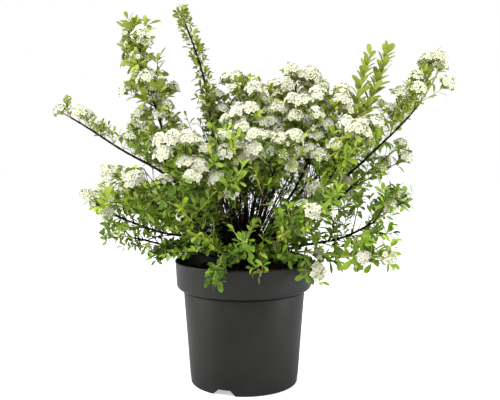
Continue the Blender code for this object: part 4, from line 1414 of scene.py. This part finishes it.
    def leafy_shoots(self, path):
        """The vigorous leafy shoot and its twin, which forks from it."""
        line = Line(path)
        fork, tip = line.place(line.total * TWIN_FORK), Vector(path[-1]) + TWIN_OFFSET
        twin = Arc(fork, tip, TWIN_OFFSET * TWIN_BOW)
        self.shoot(twin.points(12), TWIN_RADII, "red", 6)
        first, last = LARGE_LEAF_ENDS
        self.large_leaves(lambda share: (twin.at(share), twin.way(share)), TWIN_LEAVES, 0.0)
        self.large_leaves(
            lambda share: line.at(line.total * (first + (last - first) * share)), LEAFY_LEAVES, 1.0
        )


def grow_side(names, plans, room):
    """All the fine growth of one side of the plant."""
    spray = Spray(room)
    for owner, (limb, path, _, stem) in enumerate(plans):
        if limb.name not in names:
            continue
        spray.take_limb(owner, limb)
        if limb.name == "leafy_shoot":
            spray.rng = random.Random("leafy " + limb.name)
            spray.leafy_shoots(path)
            continue
        spray.rng = random.Random("dress " + limb.name)
        mass = grow_mass(owner, limb, room, stem[0])
        for shoot in mass.shoots:
            spray.dress_shoot(shoot)
        for blade in mass.blades:
            spray.dress_blade(blade)
        spray.rng = random.Random("fine " + limb.name)
        spray.fine_growth(path)
    return spray


def heart_stem(spray):
    """The line of a thin stem that rises clear of every limb, or None."""
    rng = spray.rng
    for _ in range(BASAL_TRIES):
        way = direction(rng.uniform(0, TURN), math.radians(rng.uniform(*BASAL_SLOPE)))
        root = STOOL_CENTRE + way * STOOL_RADIUS * STEM_SUNK
        length = rng.uniform(*BASAL_LENGTH)
        tip = root + (way + UP * BASAL_UP).normalized() * length
        arc = Arc(root, tip, spray.jitter(BASAL_BOW) * length)
        if spray.room.clears(arc.points(12)[1:], BASAL_CLEARANCE):
            return arc, length
    return None, 0


def grow_heart(room):
    """Thin stems from the root crown that fill the heart of the bush, with small dark leaves high up,
    whose dark tints are partly painted shade.
    """
    spray = Spray(room)
    rng = spray.rng = random.Random("heart")
    for _ in range(BASAL_TWIGS):
        arc, length = heart_stem(spray)
        if arc is None:
            continue
        radii = np.linspace(*BASAL_RADII, 12) * rng.uniform(*BASAL_STOUT)
        spray.shoot(arc.points(12), radii, "old", 5)
        turn = rng.uniform(0, TURN)
        for share in np.linspace(*BASAL_SIDE_ENDS, round(length / BASAL_SIDE_GAP)):
            side = spray.lean(arc.way(share), turn, BASAL_SIDE_LEAN)
            span = rng.uniform(*BASAL_SIDE_LENGTH) * MM
            twig = Arc(arc.at(share), arc.at(share) + side * span, -UP * span * BASAL_SIDE_SAG)
            turn += GOLDEN_ANGLE
            if not spray.reaches([twig.tip]):
                continue
            spray.shoot(twig.points(4), BASAL_SIDE_RADII, rng.choice(("old", "old", "tan")), 3)
            if twig.tip.z >= BASAL_LEAVES_FROM:
                tint = len(LEAF_TINTS) + rng.choice(BASAL_TINTS)
                spray.leaves_along(twig, LEAFY_FROM, SHOOT_END, tint, BASAL_LEAVES)
    grow_rim_twigs(spray)
    return spray


def grow_rim_twigs(spray):
    """Leafy twigs that lie low over the compost and up to the rim."""
    rng = spray.rng = random.Random("rim")
    for k in range(RIM_TWIGS):
        azimuth = TURN * (k + rng.random()) / RIM_TWIGS
        if rng.random() > RIM_FRONT_SHARE and math.sin(azimuth) < RIM_FRONT:
            continue
        way = direction(azimuth, math.radians(rng.uniform(*RIM_TWIG_SLOPE)))
        root = STOOL_CENTRE + way * STOOL_RADIUS * STEM_SUNK
        length = rng.uniform(*RIM_TWIG_LENGTH)
        arc = Arc(root, root + way * length, UP * length * RIM_BOW)
        if spray.room.clears(arc.points(9)[1:], RIM_CLEARANCE):
            spray.shoot(arc.points(9), RIM_TWIG_RADII, "old", 4)
            tint = len(LEAF_TINTS) + rng.choice(RIM_TINTS)
            spray.leaves_along(arc, LEAFY_FROM, SHOOT_END, tint, RIM_LEAVES)
            spray.spur(arc.tip, arc.way(1), tint, END_LEAVES, kind=RIM_TIP_LEAVES)


# Templates of a leaf, a flower, a bud, a pedicel and a head's cushion, and the joined pieces.


def leaf_template():
    """An obovate blade one long and one half-width wide: a foot, four rows of three points, and a tip."""
    points = [(0, 0)]
    for along, half in LEAF_ROWS:
        points += [(-half, along), (0, along), (half, along)]
    faces = [(0, 2, 1), (0, 3, 2)]
    for low in (1, 2, 4, 5, 7, 8):
        faces += [(low, low + 1, low + 4), (low, low + 4, low + 3)]
    faces += [(10, 11, 13), (11, 12, 13)]
    return np.array(points + [(0, 1)], float), np.array(faces)


def axes_of(rows):
    return rows[:, 3:6], rows[:, 6:9], rows[:, 9:12]


def add_leaves(heap, rows):
    """All the leaves: folded along the midrib and curled along their length."""
    template, faces = leaf_template()
    rows = np.array(rows)
    length, width, fold, curl, tint = rows[:, 12:].T
    half, along = template.T
    raised = np.abs(half)[None] * (width * fold)[:, None] - along[None] ** 2 * (curl * length)[:, None]
    local = np.stack([half[None] * width[:, None], along[None] * length[:, None], raised], axis=2)
    heap.add_copies(stamp(local, rows[:, :3], axes_of(rows)), faces, tint.astype(int)[:, None])


def add_domed(heap, shape, rows, slots):
    """Copies of a round shape, each at a place, in its own axes, with its own radius and height."""
    points, faces = shape
    rows = np.array(rows)
    local = points[None] * rows[:, None, [12, 12, 13]]
    heap.add_copies(stamp(local, rows[:, :3], axes_of(rows)), faces, slots)


def circle(radius, count, phase=0.0):
    """Points on a circle: pairs of across and over, from a share of a step on."""
    angles = [TURN * (k + phase) / count for k in range(count)]
    return [(radius * math.cos(angle), radius * math.sin(angle)) for angle in angles]


def flower_template():
    """Five round petals, a raised heart and a ring of stamens, and the slot of each face."""
    points, faces, slots = [], [], []
    for petal in range(PETALS):
        turn = TURN * petal / PETALS
        first = len(points)
        for out, side in PETAL_OUTLINE:
            x = out * math.cos(turn) - side * math.sin(turn)
            y = out * math.sin(turn) + side * math.cos(turn)
            points.append((x, y, PETAL_RISE * out**2 + PETAL_LIFT * (petal % 2)))
        faces += [(first, first + k, first + k + 1) for k in range(1, 5)]
        slots += [PETAL] * 4
    first = len(points)
    points += [(x, y, 0.05) for x, y in circle(0.31, PETALS)] + [(0, 0, 0.20)]
    faces += [(first + 5, first + k, first + (k + 1) % 5) for k in range(5)]
    slots += [HEART] * 5
    for k in range(PETALS):
        angle = TURN * (k + 0.5) / PETALS
        first = len(points)
        for turn, out, height in STAMEN_CORNERS:
            points.append((out * math.cos(angle + turn), out * math.sin(angle + turn), height))
        faces.append((first, first + 1, first + 2))
        slots.append(STAMEN)
    return (np.array(points), np.array(faces)), np.array(slots)


def bud_template():
    """A small ball on end: two rings of five between two points."""
    points = [(0, 0, -1)]
    for height, phase in ((-0.45, 0), (0.45, 0.5)):
        points += [(x, y, height) for x, y in circle(0.88, 5, phase)]
    faces = []
    for k in range(5):
        low, low_after = 1 + k, 1 + (k + 1) % 5
        high, high_after = low + 5, low_after + 5
        faces += [(0, low_after, low), (low, low_after, high)]
        faces += [(low_after, high_after, high), (11, high, high_after)]
    return np.array(points + [(0, 0, 1)], float), np.array(faces)


def add_buds(heap, rows):
    template, faces = bud_template()
    rows = np.array(rows)
    up = rows[:, 3:6]
    across = unit(np.cross(up, (0.31, 0.95, 0.05)))
    local = template[None] * rows[:, 6, None, None]
    points = stamp(local, rows[:, :3], (across, np.cross(up, across), up))
    heap.add_copies(points, faces, rows[:, 7:].astype(int))


def add_pedicels(heap, rows):
    """Three-sided stalks through three points, widening to a small cup under the flower."""
    rows = np.array(rows).reshape(-1, 3, 3)
    way = unit(rows[:, 2] - rows[:, 0])
    across = unit(np.cross(way, (0.93, 0.29, 0.22)))
    over = np.cross(way, across)
    rings = []
    for ring, radius in enumerate(PEDICEL_SWELL):
        for x, y in circle(1, 3):
            rings.append(rows[:, ring] + (across * x + over * y) * PEDICEL_RADIUS * radius)
    heap.add_copies(np.stack(rings, axis=1), ring_faces(3, 3, capped=False), PEDICEL)


def cushion_template():
    """The dome of crossed stalks and sepals that shows between a head's flowers."""
    points = [(0, 0, -0.1)]
    for radius, height in ((0.92, 0.10), (0.64, 0.62)):
        points += [(x, y, height) for x, y in circle(radius, CUSHION_FACETS)]
    return np.array(points + [(0, 0, 0.9)], float), dome_faces(2, CUSHION_FACETS)


def make_blossom(spray, name, materials):
    heap = Heap()
    add_domed(heap, cushion_template(), spray.cushions, CUSHION)
    flower, slots = flower_template()
    add_domed(heap, flower, spray.flowers, slots)
    if spray.buds:
        add_buds(heap, spray.buds)
    add_pedicels(heap, spray.pedicels)
    return heap.build(name, materials)


def join_spray(spray, side, nodes, looks):
    """The joined pieces of one side: leaves, shoots and blossom."""
    leaves = Heap()
    add_leaves(leaves, spray.leaves)
    pieces = [
        leaves.build("leaves_" + side, [looks["leaf_" + name] for name in LEAF_COLORS]),
        spray.twigs.build("shoots_" + side, [looks["shoot_" + tint] for tint in SHOOT_TINTS]),
    ]
    if spray.flowers:
        pieces.append(make_blossom(spray, "blossom_" + side, [looks[part] for part in BLOSSOM_PARTS]))
    for piece in pieces:
        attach(piece, "root")
        if nodes:
            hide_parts(*nodes)


# Old wood with bark relief.


def bark_radii(radii, lengths, rng):
    """Radii for each corner: long ridges that drift round the limb, scars at its nodes, and roughness."""
    angles = 2 * np.pi * np.arange(BARK_SIDES) / BARK_SIDES
    phase = rng.uniform(0, 6.28)
    ridges = np.sin(3 * angles[None] + phase + lengths[:, None] * RIDGE_DRIFT) * RIDGE_DEPTH
    nodes = np.arange(rng.uniform(0, 1), lengths[-1] / NODE_SPACING + 1)
    nodes = np.array([(n + rng.uniform(-0.3, 0.3)) * NODE_SPACING for n in nodes])
    near = np.abs(lengths[:, None] - nodes[None])
    swell = (np.exp(-((near / NODE_LENGTH) ** 2)).sum(axis=1)) * NODE_SWELL
    rough = np.random.default_rng(rng.randrange(10**6)).normal(0, BARK_ROUGH, (len(lengths), BARK_SIDES))
    return np.asarray(radii)[:, None] * (1 + ridges + swell[:, None] + rough)


def make_old_wood(plans, looks):
    """Every limb from the stool to its tip. Its old share has bark, and its young end is smooth."""
    heap = Heap()
    tints = ("old", "green", "tan", "red")
    for limb, path, _, _ in plans:
        habit = HABITS.get(limb.name, USUAL)
        total = lengths_along(path)[-1]
        old = habit.old * total
        points = stretch(path, 0, old, BARK_STEP)
        points[0] -= (points[1] - points[0]) / np.linalg.norm(points[1] - points[0]) * LIMB_SUNK * MM
        shares = np.linspace(0, habit.old, len(points))
        flare = 1 + FOOT_SWELL * np.exp(-shares * total / FOOT_FLARE)
        radii = [limb_radius(limb, share) * wider for share, wider in zip(shares, flare)]
        rough = bark_radii(radii, lengths_along(points), random.Random("bark " + limb.name))
        heap.add(*tube(points, rough, BARK_SIDES))
        points = stretch(path, old - YOUNG_OVERLAP, total, YOUNG_STEP)
        shares = np.linspace(habit.old, 1, len(points))
        slim = YOUNG_RADIUS - YOUNG_TAPER * (shares - habit.old)
        radii = [limb_radius(limb, share) * thinner for share, thinner in zip(shares, slim)]
        heap.add(*tube(points, radii, YOUNG_SIDES), tints.index(habit.young))
    return heap.build("old_wood", [looks["old_bark"]] + [looks["shoot_" + tint] for tint in tints[1:]])


def make_stool(looks):
    """The root crown: knuckled and rough, flared where it meets the compost."""
    points = [(0, 0, STOOL_CENTRE.z + STOOL_RADIUS * 0.99)]
    for ring in range(1, STOOL_RINGS + 1):
        flare = max(0, (ring - STOOL_RINGS + FLARE_RINGS) / FLARE_RINGS)
        radius = STOOL_RADIUS * STEM_SUNK + (FLARE_RADIUS - STOOL_RADIUS) * flare**2 * 0.9
        for k in range(STOOL_SECTORS):
            way = direction(TURN * k / STOOL_SECTORS, math.pi / 2 * (1 - ring / STOOL_RINGS))
            lump = noise.noise(way * 4.3) * 1.6 * MM + noise.noise(way * 17) * 0.7 * MM
            point = STOOL_CENTRE + way * (radius + lump)
            points.append((point.x, point.y, point.z - (STOOL_LIFT + 0.4 * MM) * flare))
    points.append((0, 0, SOIL_LEVEL - 0.2 * MM))
    heap = Heap()
    heap.add(np.array(points), dome_faces(STOOL_RINGS, STOOL_SECTORS)[:, ::-1])
    return heap.build("root_crown", [looks["old_bark"]])


# Pot and compost.


def bake(name, mesh):
    """Turns a bmesh into an object."""
    data = bpy.data.meshes.new(name)
    mesh.to_mesh(data)
    mesh.free()
    return link(name, data)


def arc_points(centre, radius, start, end, steps):
    angles = [math.radians(start + (end - start) * k / steps) for k in range(steps + 1)]
    return [(centre[0] + radius * math.cos(a), centre[1] + radius * math.sin(a)) for a in angles]


def turned(name, profile, facets):
    """A solid of revolution about Z. The profile runs from the axis, out and back to the axis."""
    mesh = bmesh.new()
    corners = [mesh.verts.new((radius, 0, height)) for radius, height in profile]
    edges = [mesh.edges.new(pair) for pair in zip(corners, corners[1:])]
    sweep = {"cent": (0, 0, 0), "axis": (0, 0, 1), "angle": TURN, "steps": facets, "use_merge": True}
    bmesh.ops.spin(mesh, geom=corners + edges, **sweep)
    bmesh.ops.remove_doubles(mesh, verts=mesh.verts, dist=0.01 * MM)
    bmesh.ops.recalc_face_normals(mesh, faces=mesh.faces)
    return bake(name, mesh)


def wall_radius(height):
    return BODY_FOOT_RADIUS + (BODY_TOP_RADIUS - BODY_FOOT_RADIUS) * height / COLLAR_UNDERSIDE


def collar_radius(height):
    share = (height - COLLAR_FOOT_HEIGHT) / (POT_HEIGHT - COLLAR_FOOT_HEIGHT)
    return COLLAR_FOOT_RADIUS + (RIM_RADIUS - BEAD_PROUD - COLLAR_FOOT_RADIUS) * share


def outer_profile():
    """The pot's outer side, with a rounded heel, a faint foot band, the collar and its rolled bead."""
    heel_centre = (wall_radius(HEEL_ROUNDING) - HEEL_ROUNDING - FOOT_BAND_STEP, HEEL_ROUNDING)
    rounding_centre = (COLLAR_FOOT_RADIUS - COLLAR_ROUNDING, COLLAR_FOOT_HEIGHT)
    bead = []
    for angle in range(-90, 91, 20):
        out = RIM_RADIUS - BEAD_PROUD + BEAD_PROUD * math.cos(math.radians(angle))
        bead.append((out, POT_HEIGHT - BEAD_HEIGHT / 2 + BEAD_HEIGHT / 2 * math.sin(math.radians(angle))))
    return [
        (0, 0),
        *arc_points(heel_centre, HEEL_ROUNDING, -90, 0, POT_ARC_STEPS),
        (wall_radius(FOOT_BAND_HEIGHT) - FOOT_BAND_STEP, FOOT_BAND_HEIGHT),
        (wall_radius(FOOT_BAND_HEIGHT + FOOT_BAND_STEP), FOOT_BAND_HEIGHT + FOOT_BAND_STEP),
        (BODY_TOP_RADIUS, COLLAR_UNDERSIDE - GROOVE_HEIGHT),
        (BODY_TOP_RADIUS - GROOVE_DEPTH, COLLAR_UNDERSIDE - GROOVE_HEIGHT / 2),
        (BODY_TOP_RADIUS - GROOVE_DEPTH, COLLAR_UNDERSIDE),
        *arc_points(rounding_centre, COLLAR_ROUNDING, -90, 0, POT_ARC_STEPS),
        *bead,
        (0, POT_HEIGHT),
    ]


def hollow_profile(top):
    """The space inside the wall, closed at the height top."""
    ledge = COLLAR_FOOT_HEIGHT + WALL
    return [
        (0, WALL),
        (wall_radius(WALL) - WALL, WALL),
        (BODY_TOP_RADIUS - WALL, COLLAR_UNDERSIDE + WALL),
        (collar_radius(ledge) - WALL, ledge),
        (collar_radius(top) - WALL, top),
        (0, top),
    ]


def channel_block(angle, grow):
    """A bar of trapezoid section that lies out from the axis along the floor, made larger by grow."""
    foot = CHANNEL_FOOT_WIDTH / 2 + grow
    slope = (CHANNEL_FOOT_WIDTH - CHANNEL_TOP_WIDTH) / 2 / CHANNEL_HEIGHT
    bottom, top = -CUT_BELOW, CHANNEL_HEIGHT + grow
    low, high = foot - slope * bottom, foot - slope * top
    turn = math.radians(angle)
    mesh = bmesh.new()
    for out in (CHANNEL_START - grow, LONG_CUT):
        for side, z in ((low, bottom), (high, top), (-high, top), (-low, bottom)):
            x = out * math.cos(turn) - side * math.sin(turn)
            mesh.verts.new((x, out * math.sin(turn) + side * math.cos(turn), z))
    mesh.verts.ensure_lookup_table()
    for face in ((0, 1, 2, 3), (7, 6, 5, 4), (0, 4, 5, 1), (1, 5, 6, 2), (2, 6, 7, 3), (3, 7, 4, 0)):
        mesh.faces.new([mesh.verts[k] for k in face])
    bmesh.ops.recalc_face_normals(mesh, faces=mesh.faces)
    return bake("channel_block", mesh)


def drain_hole(angle):
    top = CHANNEL_HEIGHT + 2 * WALL
    profile = [(0, -WALL), (DRAIN_HOLE_RADIUS, -WALL), (DRAIN_HOLE_RADIUS, top), (0, top)]
    cutter = turned("drain_hole", profile, HOLE_FACETS)
    cutter.location = direction(math.radians(angle), 0) * DRAIN_HOLE_PLACE
    bpy.context.view_layer.update()
    return cutter


def apply_modifiers(thing):
    graph = bpy.context.evaluated_depsgraph_get()
    baked = bpy.data.meshes.new_from_object(thing.evaluated_get(graph))
    thing.modifiers.clear()
    thing.data = baked


def cut(thing, cutter):
    modifier = thing.modifiers.new("cut", "BOOLEAN")
    modifier.operation = "DIFFERENCE"
    modifier.solver = "EXACT"
    modifier.object = cutter
    apply_modifiers(thing)
    bpy.data.objects.remove(cutter, do_unlink=True)


def make_pot(looks):
    pot = turned("nursery_pot", outer_profile(), POT_FACETS)
    hollow = turned("hollow", hollow_profile(POT_HEIGHT + 10 * MM), POT_FACETS)
    angles = [FIRST_CHANNEL_ANGLE + 360 * k / CHANNELS for k in range(CHANNELS)]
    for angle in angles:
        cut(hollow, channel_block(angle, WALL))
    cut(pot, hollow)
    for angle in angles:
        cut(pot, channel_block(angle, 0))
        cut(pot, drain_hole(angle))
    bevel = pot.modifiers.new("softened_edges", "BEVEL")
    bevel.width = EDGE_SOFTENING
    bevel.segments = 2
    bevel.limit_method = "ANGLE"
    bevel.angle_limit = math.radians(38)
    apply_modifiers(pot)
    pot.data.materials.clear()
    pot.data.materials.append(looks["moulded_plastic"])
    pot.data.shade_smooth()
    pot.data.set_sharp_from_angle(angle=math.radians(32))
    return pot


def soil_height(out):
    """Height of the compost at a distance from the axis: level, then falling to the wall."""
    edge = RIM_RADIUS - BEAD_PROUD - WALL
    if out < SOIL_FLAT_RADIUS:
        return SOIL_LEVEL
    return SOIL_LEVEL - SOIL_FALL * (out - SOIL_FLAT_RADIUS) / (edge - SOIL_FLAT_RADIUS)


def soil_bump(x, y):
    """Clods and crumbs of the loose surface."""
    place = Vector((x, y, 0))
    clods = noise.noise(place / (9 * MM)) * 0.6 + noise.noise(place / (3.2 * MM)) * 0.45
    return clods * SOIL_RELIEF


def make_soil_top(looks):
    """A thin closed skin of loose compost on top of the solid one."""
    edge = collar_radius(SOIL_LEVEL - SOIL_FALL) - WALL - TOUCH_GAP
    top, under = [], []
    for ring in range(SOIL_RINGS + 1):
        out = edge * (ring / SOIL_RINGS) ** 0.85
        fade = min(1, (edge - out) / SOIL_FADE)
        for x, y in circle(out, SOIL_SECTORS, 0.5 * (ring % 2)):
            top.append((x, y, soil_height(out) + (SKIN_LIFT + soil_bump(x, y) * fade)))
            under.append((x, y, soil_height(out) - SOIL_SKIRT))
    faces = ring_faces(SOIL_RINGS + 1, SOIL_SECTORS, capped=False)
    rim = SOIL_RINGS * SOIL_SECTORS
    side = ring_faces(2, SOIL_SECTORS, capped=False)[:, ::-1] + rim
    side = np.where(side < rim + SOIL_SECTORS, side, side + rim)
    heap = Heap()
    heap.add(np.array(top + under), np.concatenate([faces[:, ::-1], faces + len(top), side]))
    return heap.build("compost_top", [looks["compost"]])


def make_crumbs(looks):
    """Crumbs of peat, chips of bark and a little pale grit, strewn over the compost."""
    ball = bmesh.new()
    bmesh.ops.create_icosphere(ball, subdivisions=1, radius=1)
    template = np.array([tuple(vert.co) for vert in ball.verts])
    faces = np.array([[vert.index for vert in face.verts] for face in ball.faces])
    ball.free()
    rng = np.random.default_rng(11)
    heap = Heap()
    for slot, (count, sizes, shape) in enumerate(LOOSE_KINDS):
        out = (RIM_RADIUS - CRUMB_MARGIN) * np.sqrt(rng.uniform(0.05, 1, count))
        turn = rng.uniform(0, 2 * np.pi, count)
        x, y = out * np.cos(turn), out * np.sin(turn)
        size = rng.uniform(*sizes, count) * MM
        z = np.array([soil_height(o) + SKIN_LIFT + soil_bump(a, b) for o, a, b in zip(out, x, y)])
        spin = rng.uniform(0, 2 * np.pi, count)
        tilt, roll = rng.normal(0, 0.3, (count, 2)).T
        across = unit(np.stack([np.cos(spin), np.sin(spin), tilt], axis=1))
        along = unit(np.cross(np.stack([roll, tilt, np.ones(count)], axis=1), across))
        centres = np.stack([x, y, z + size * shape[2] * 0.35], axis=1)
        local = template[None] * (size[:, None] * np.array(shape)[None])[:, None, :]
        points = stamp(local, centres, (across, along, np.cross(across, along)))
        points += rng.normal(0, CRUMB_ROUGH, points.shape) * size[:, None, None]
        heap.add_copies(points, faces, slot)
    materials = [looks[name] for name in ("compost", "bark_chip", "grit")]
    return heap.build("compost_crumbs", materials, smooth=False)


# Materials.


def new_group(name, inputs, outputs):
    """A shader node group with named inputs, a number or a colour each, and named outputs."""
    group = bpy.data.node_groups.new(name, "ShaderNodeTree")
    for label, value in inputs:
        kind = "NodeSocketColor" if isinstance(value, tuple) else "NodeSocketFloat"
        group.interface.new_socket(name=label, in_out="INPUT", socket_type=kind).default_value = value
    for label, kind in outputs:
        group.interface.new_socket(name=label, in_out="OUTPUT", socket_type=kind)
    return group, group.nodes.new("NodeGroupInput").outputs, group.nodes.new("NodeGroupOutput")


def feed(tree, node, sockets):
    """Sets a node's inputs, each to a value or to another node's output."""
    for label, value in sockets.items():
        if isinstance(value, bpy.types.NodeSocket):
            tree.links.new(value, node.inputs[label])
        else:
            node.inputs[label].default_value = value


def add_node(tree, kind, sockets=(), **settings):
    """A new node with its inputs fed and its settings made. Returns its outputs."""
    node = tree.nodes.new("ShaderNode" + kind)
    for label, value in settings.items():
        setattr(node, label, value)
    feed(tree, node, dict(sockets))
    return node.outputs


def make_grain_group():
    """Fine grain on two scales: a mask, and a height for a bump."""
    group, given, leave = new_group(
        "surface_grain",
        (("Coarse scale", 60), ("Fine scale", 700), ("Detail", 3)),
        (("Mask", "NodeSocketFloat"), ("Height", "NodeSocketFloat")),
    )
    shared = {"Vector": add_node(group, "TexCoord")["Object"], "Detail": given["Detail"]}
    coarse = add_node(group, "TexNoise", {**shared, "Scale": given["Coarse scale"]})["Fac"]
    fine = add_node(group, "TexNoise", {**shared, "Scale": given["Fine scale"]})["Fac"]
    spread = add_node(group, "MapRange", {"From Min": 0.34, "From Max": 0.66, "Value": coarse})
    feed(group, leave, {"Mask": spread["Result"], "Height": fine})
    return group


def make_tint_group():
    """A base colour that drifts between a lighter and a darker shade of itself by a mask."""
    group, given, leave = new_group(
        "shade_drift",
        (("Mask", 0.5), ("Amount", 0.2), ("Base", (0.5, 0.5, 0.5, 1))),
        (("Color", "NodeSocketColor"),),
    )
    spread = add_node(group, "Math", {0: given["Mask"], 1: 0.5}, operation="SUBTRACT")[0]
    strength = add_node(group, "Math", {0: spread, 1: given["Amount"]}, operation="MULTIPLY")[0]
    level = add_node(group, "Math", {0: strength, 1: 1.0}, operation="ADD")[0]
    shade = add_node(group, "HueSaturation", {"Value": level, "Color": given["Base"]})
    feed(group, leave, {"Color": shade["Color"]})
    return group


def new_material(name):
    material = bpy.data.materials.new(name)
    material.use_nodes = True
    return material, material.node_tree, material.node_tree.nodes["Principled BSDF"]


def grained(name, finish, groups):
    """A material whose colour drifts and whose surface has grain, from the two shared groups."""
    material, tree, shader = new_material(name)
    scales = {"Coarse scale": finish.coarse, "Fine scale": finish.fine}
    grain = add_node(tree, "Group", node_tree=groups["grain"])
    feed(tree, grain["Mask"].node, scales)
    tint = add_node(tree, "Group", node_tree=groups["tint"])
    color = {"Base": (*finish.color, 1), "Amount": finish.drift, "Mask": grain["Mask"]}
    feed(tree, tint["Color"].node, color)
    relief = {"Strength": finish.bump, "Distance": finish.depth * MM, "Height": grain["Height"]}
    normal = add_node(tree, "Bump", relief)["Normal"]
    feed(tree, shader, {"Base Color": tint["Color"], "Normal": normal, "Roughness": finish.roughness})
    if finish.shine is not None:
        shader.inputs["Specular IOR Level"].default_value = finish.shine
    return material


def leaf_material(name, color, groups):
    """A leaf's two faces: its own green above, and paler and greyer below."""
    material = grained(name, LEAF_FINISH._replace(color=color), groups)
    tree = material.node_tree
    shader = tree.nodes["Principled BSDF"]
    share = UNDERSIDE_SHARE
    pale = [color[k] * (1 - share) + UNDERSIDE[k] * share * (0.4 + color[1]) for k in range(3)]
    side = add_node(tree, "NewGeometry")["Backfacing"]
    above = shader.inputs["Base Color"].links[0].from_socket
    below = {"Factor": side, "A": above, "B": (*pale, 1)}
    mixed = add_node(tree, "Mix", data_type="RGBA")["Result"].node
    feed(tree, mixed, below)
    feed(tree, shader, {"Base Color": mixed.outputs["Result"]})
    return material


def make_materials():
    groups = {"grain": make_grain_group(), "tint": make_tint_group()}
    looks = {name: grained(name, finish, groups) for name, finish in FINISHES.items()}
    for tint, color in LEAF_COLORS.items():
        looks["leaf_" + tint] = leaf_material("leaf_" + tint, color, groups)
    for tint, color in SHOOT_COLORS.items():
        looks["shoot_" + tint] = grained("shoot_" + tint, SHOOT_FINISH._replace(color=color), groups)
    looks["shoot_old"] = looks["thin_bark"]
    return looks


# Studio.


def make_camera():
    data = bpy.data.cameras.new("camera")
    data.lens = CAMERA_LENS
    camera = link("camera", data)
    camera.location = CAMERA_PLACE
    camera.rotation_euler = (math.pi / 2 - CAMERA_DOWN, 0, 0)
    bpy.context.scene.camera = camera


def make_floor():
    mesh = bmesh.new()
    bmesh.ops.create_circle(mesh, cap_ends=True, segments=96, radius=6)
    floor = bake("floor", mesh)
    material, tree, shader = new_material("pale_floor")
    seen = add_node(tree, "LightPath")["Is Camera Ray"]
    glow = add_node(tree, "Math", {0: seen, 1: FLOOR_GLOW}, operation="MULTIPLY")[0]
    feed(tree, shader, {**FLOOR_FINISH, "Emission Strength": glow})
    floor.data.materials.append(material)


def soft_light(name, place, target, size, power):
    data = bpy.data.lights.new(name, "AREA")
    data.shape = "RECTANGLE"
    data.size, data.size_y = size
    data.energy = power
    lamp = link(name, data)
    lamp.location = place
    lamp.rotation_mode = "QUATERNION"
    lamp.rotation_quaternion = (Vector(target) - Vector(place)).to_track_quat("-Z", "Y")


def make_lights():
    world = bpy.data.worlds.new("studio")
    world.use_nodes = True
    tree = world.node_tree
    path = add_node(tree, "LightPath")
    seen = {0: path["Is Camera Ray"], 1: SKY_SEEN - SKY_LIGHT, 2: SKY_LIGHT}
    strength = add_node(tree, "Math", seen, operation="MULTIPLY_ADD")[0]
    gloss = {0: path["Is Glossy Ray"], 1: SKY_GLOSS - SKY_LIGHT, 2: strength}
    strength = add_node(tree, "Math", gloss, operation="MULTIPLY_ADD")[0]
    feed(tree, tree.nodes["Background"], {"Color": (1, 1, 1, 1), "Strength": strength})
    bpy.context.scene.world = world
    for light in LIGHTS:
        soft_light(*light)
    bpy.context.scene.view_settings.view_transform = "Standard"


def dress_base(looks):
    """The finer pot, and the loose compost over the solid one."""
    pot = make_pot(looks)
    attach(pot, "root")
    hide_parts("pot")
    for piece in (make_soil_top(looks), make_crumbs(looks)):
        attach(piece, "root")
    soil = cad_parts["soil"]
    soil.data.materials.clear()
    soil.data.materials.append(looks["compost"])


def main():
    looks = make_materials()
    plans = plan_limbs()
    room = Room(plans)
    dress_base(looks)
    wood = make_old_wood(plans, looks)
    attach(wood, "root")
    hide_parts(*["bough_" + limb.name for limb in LIMBS if limb.bough])
    crown = make_stool(looks)
    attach(crown, "root")
    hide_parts("stool")
    for side, names in SIDES.items():
        join_spray(grow_side(names, plans, room), side, ["mass_" + name for name in names], looks)
    join_spray(grow_heart(room), "heart", [], looks)
    make_camera()
    make_floor()
    make_lights()


main()
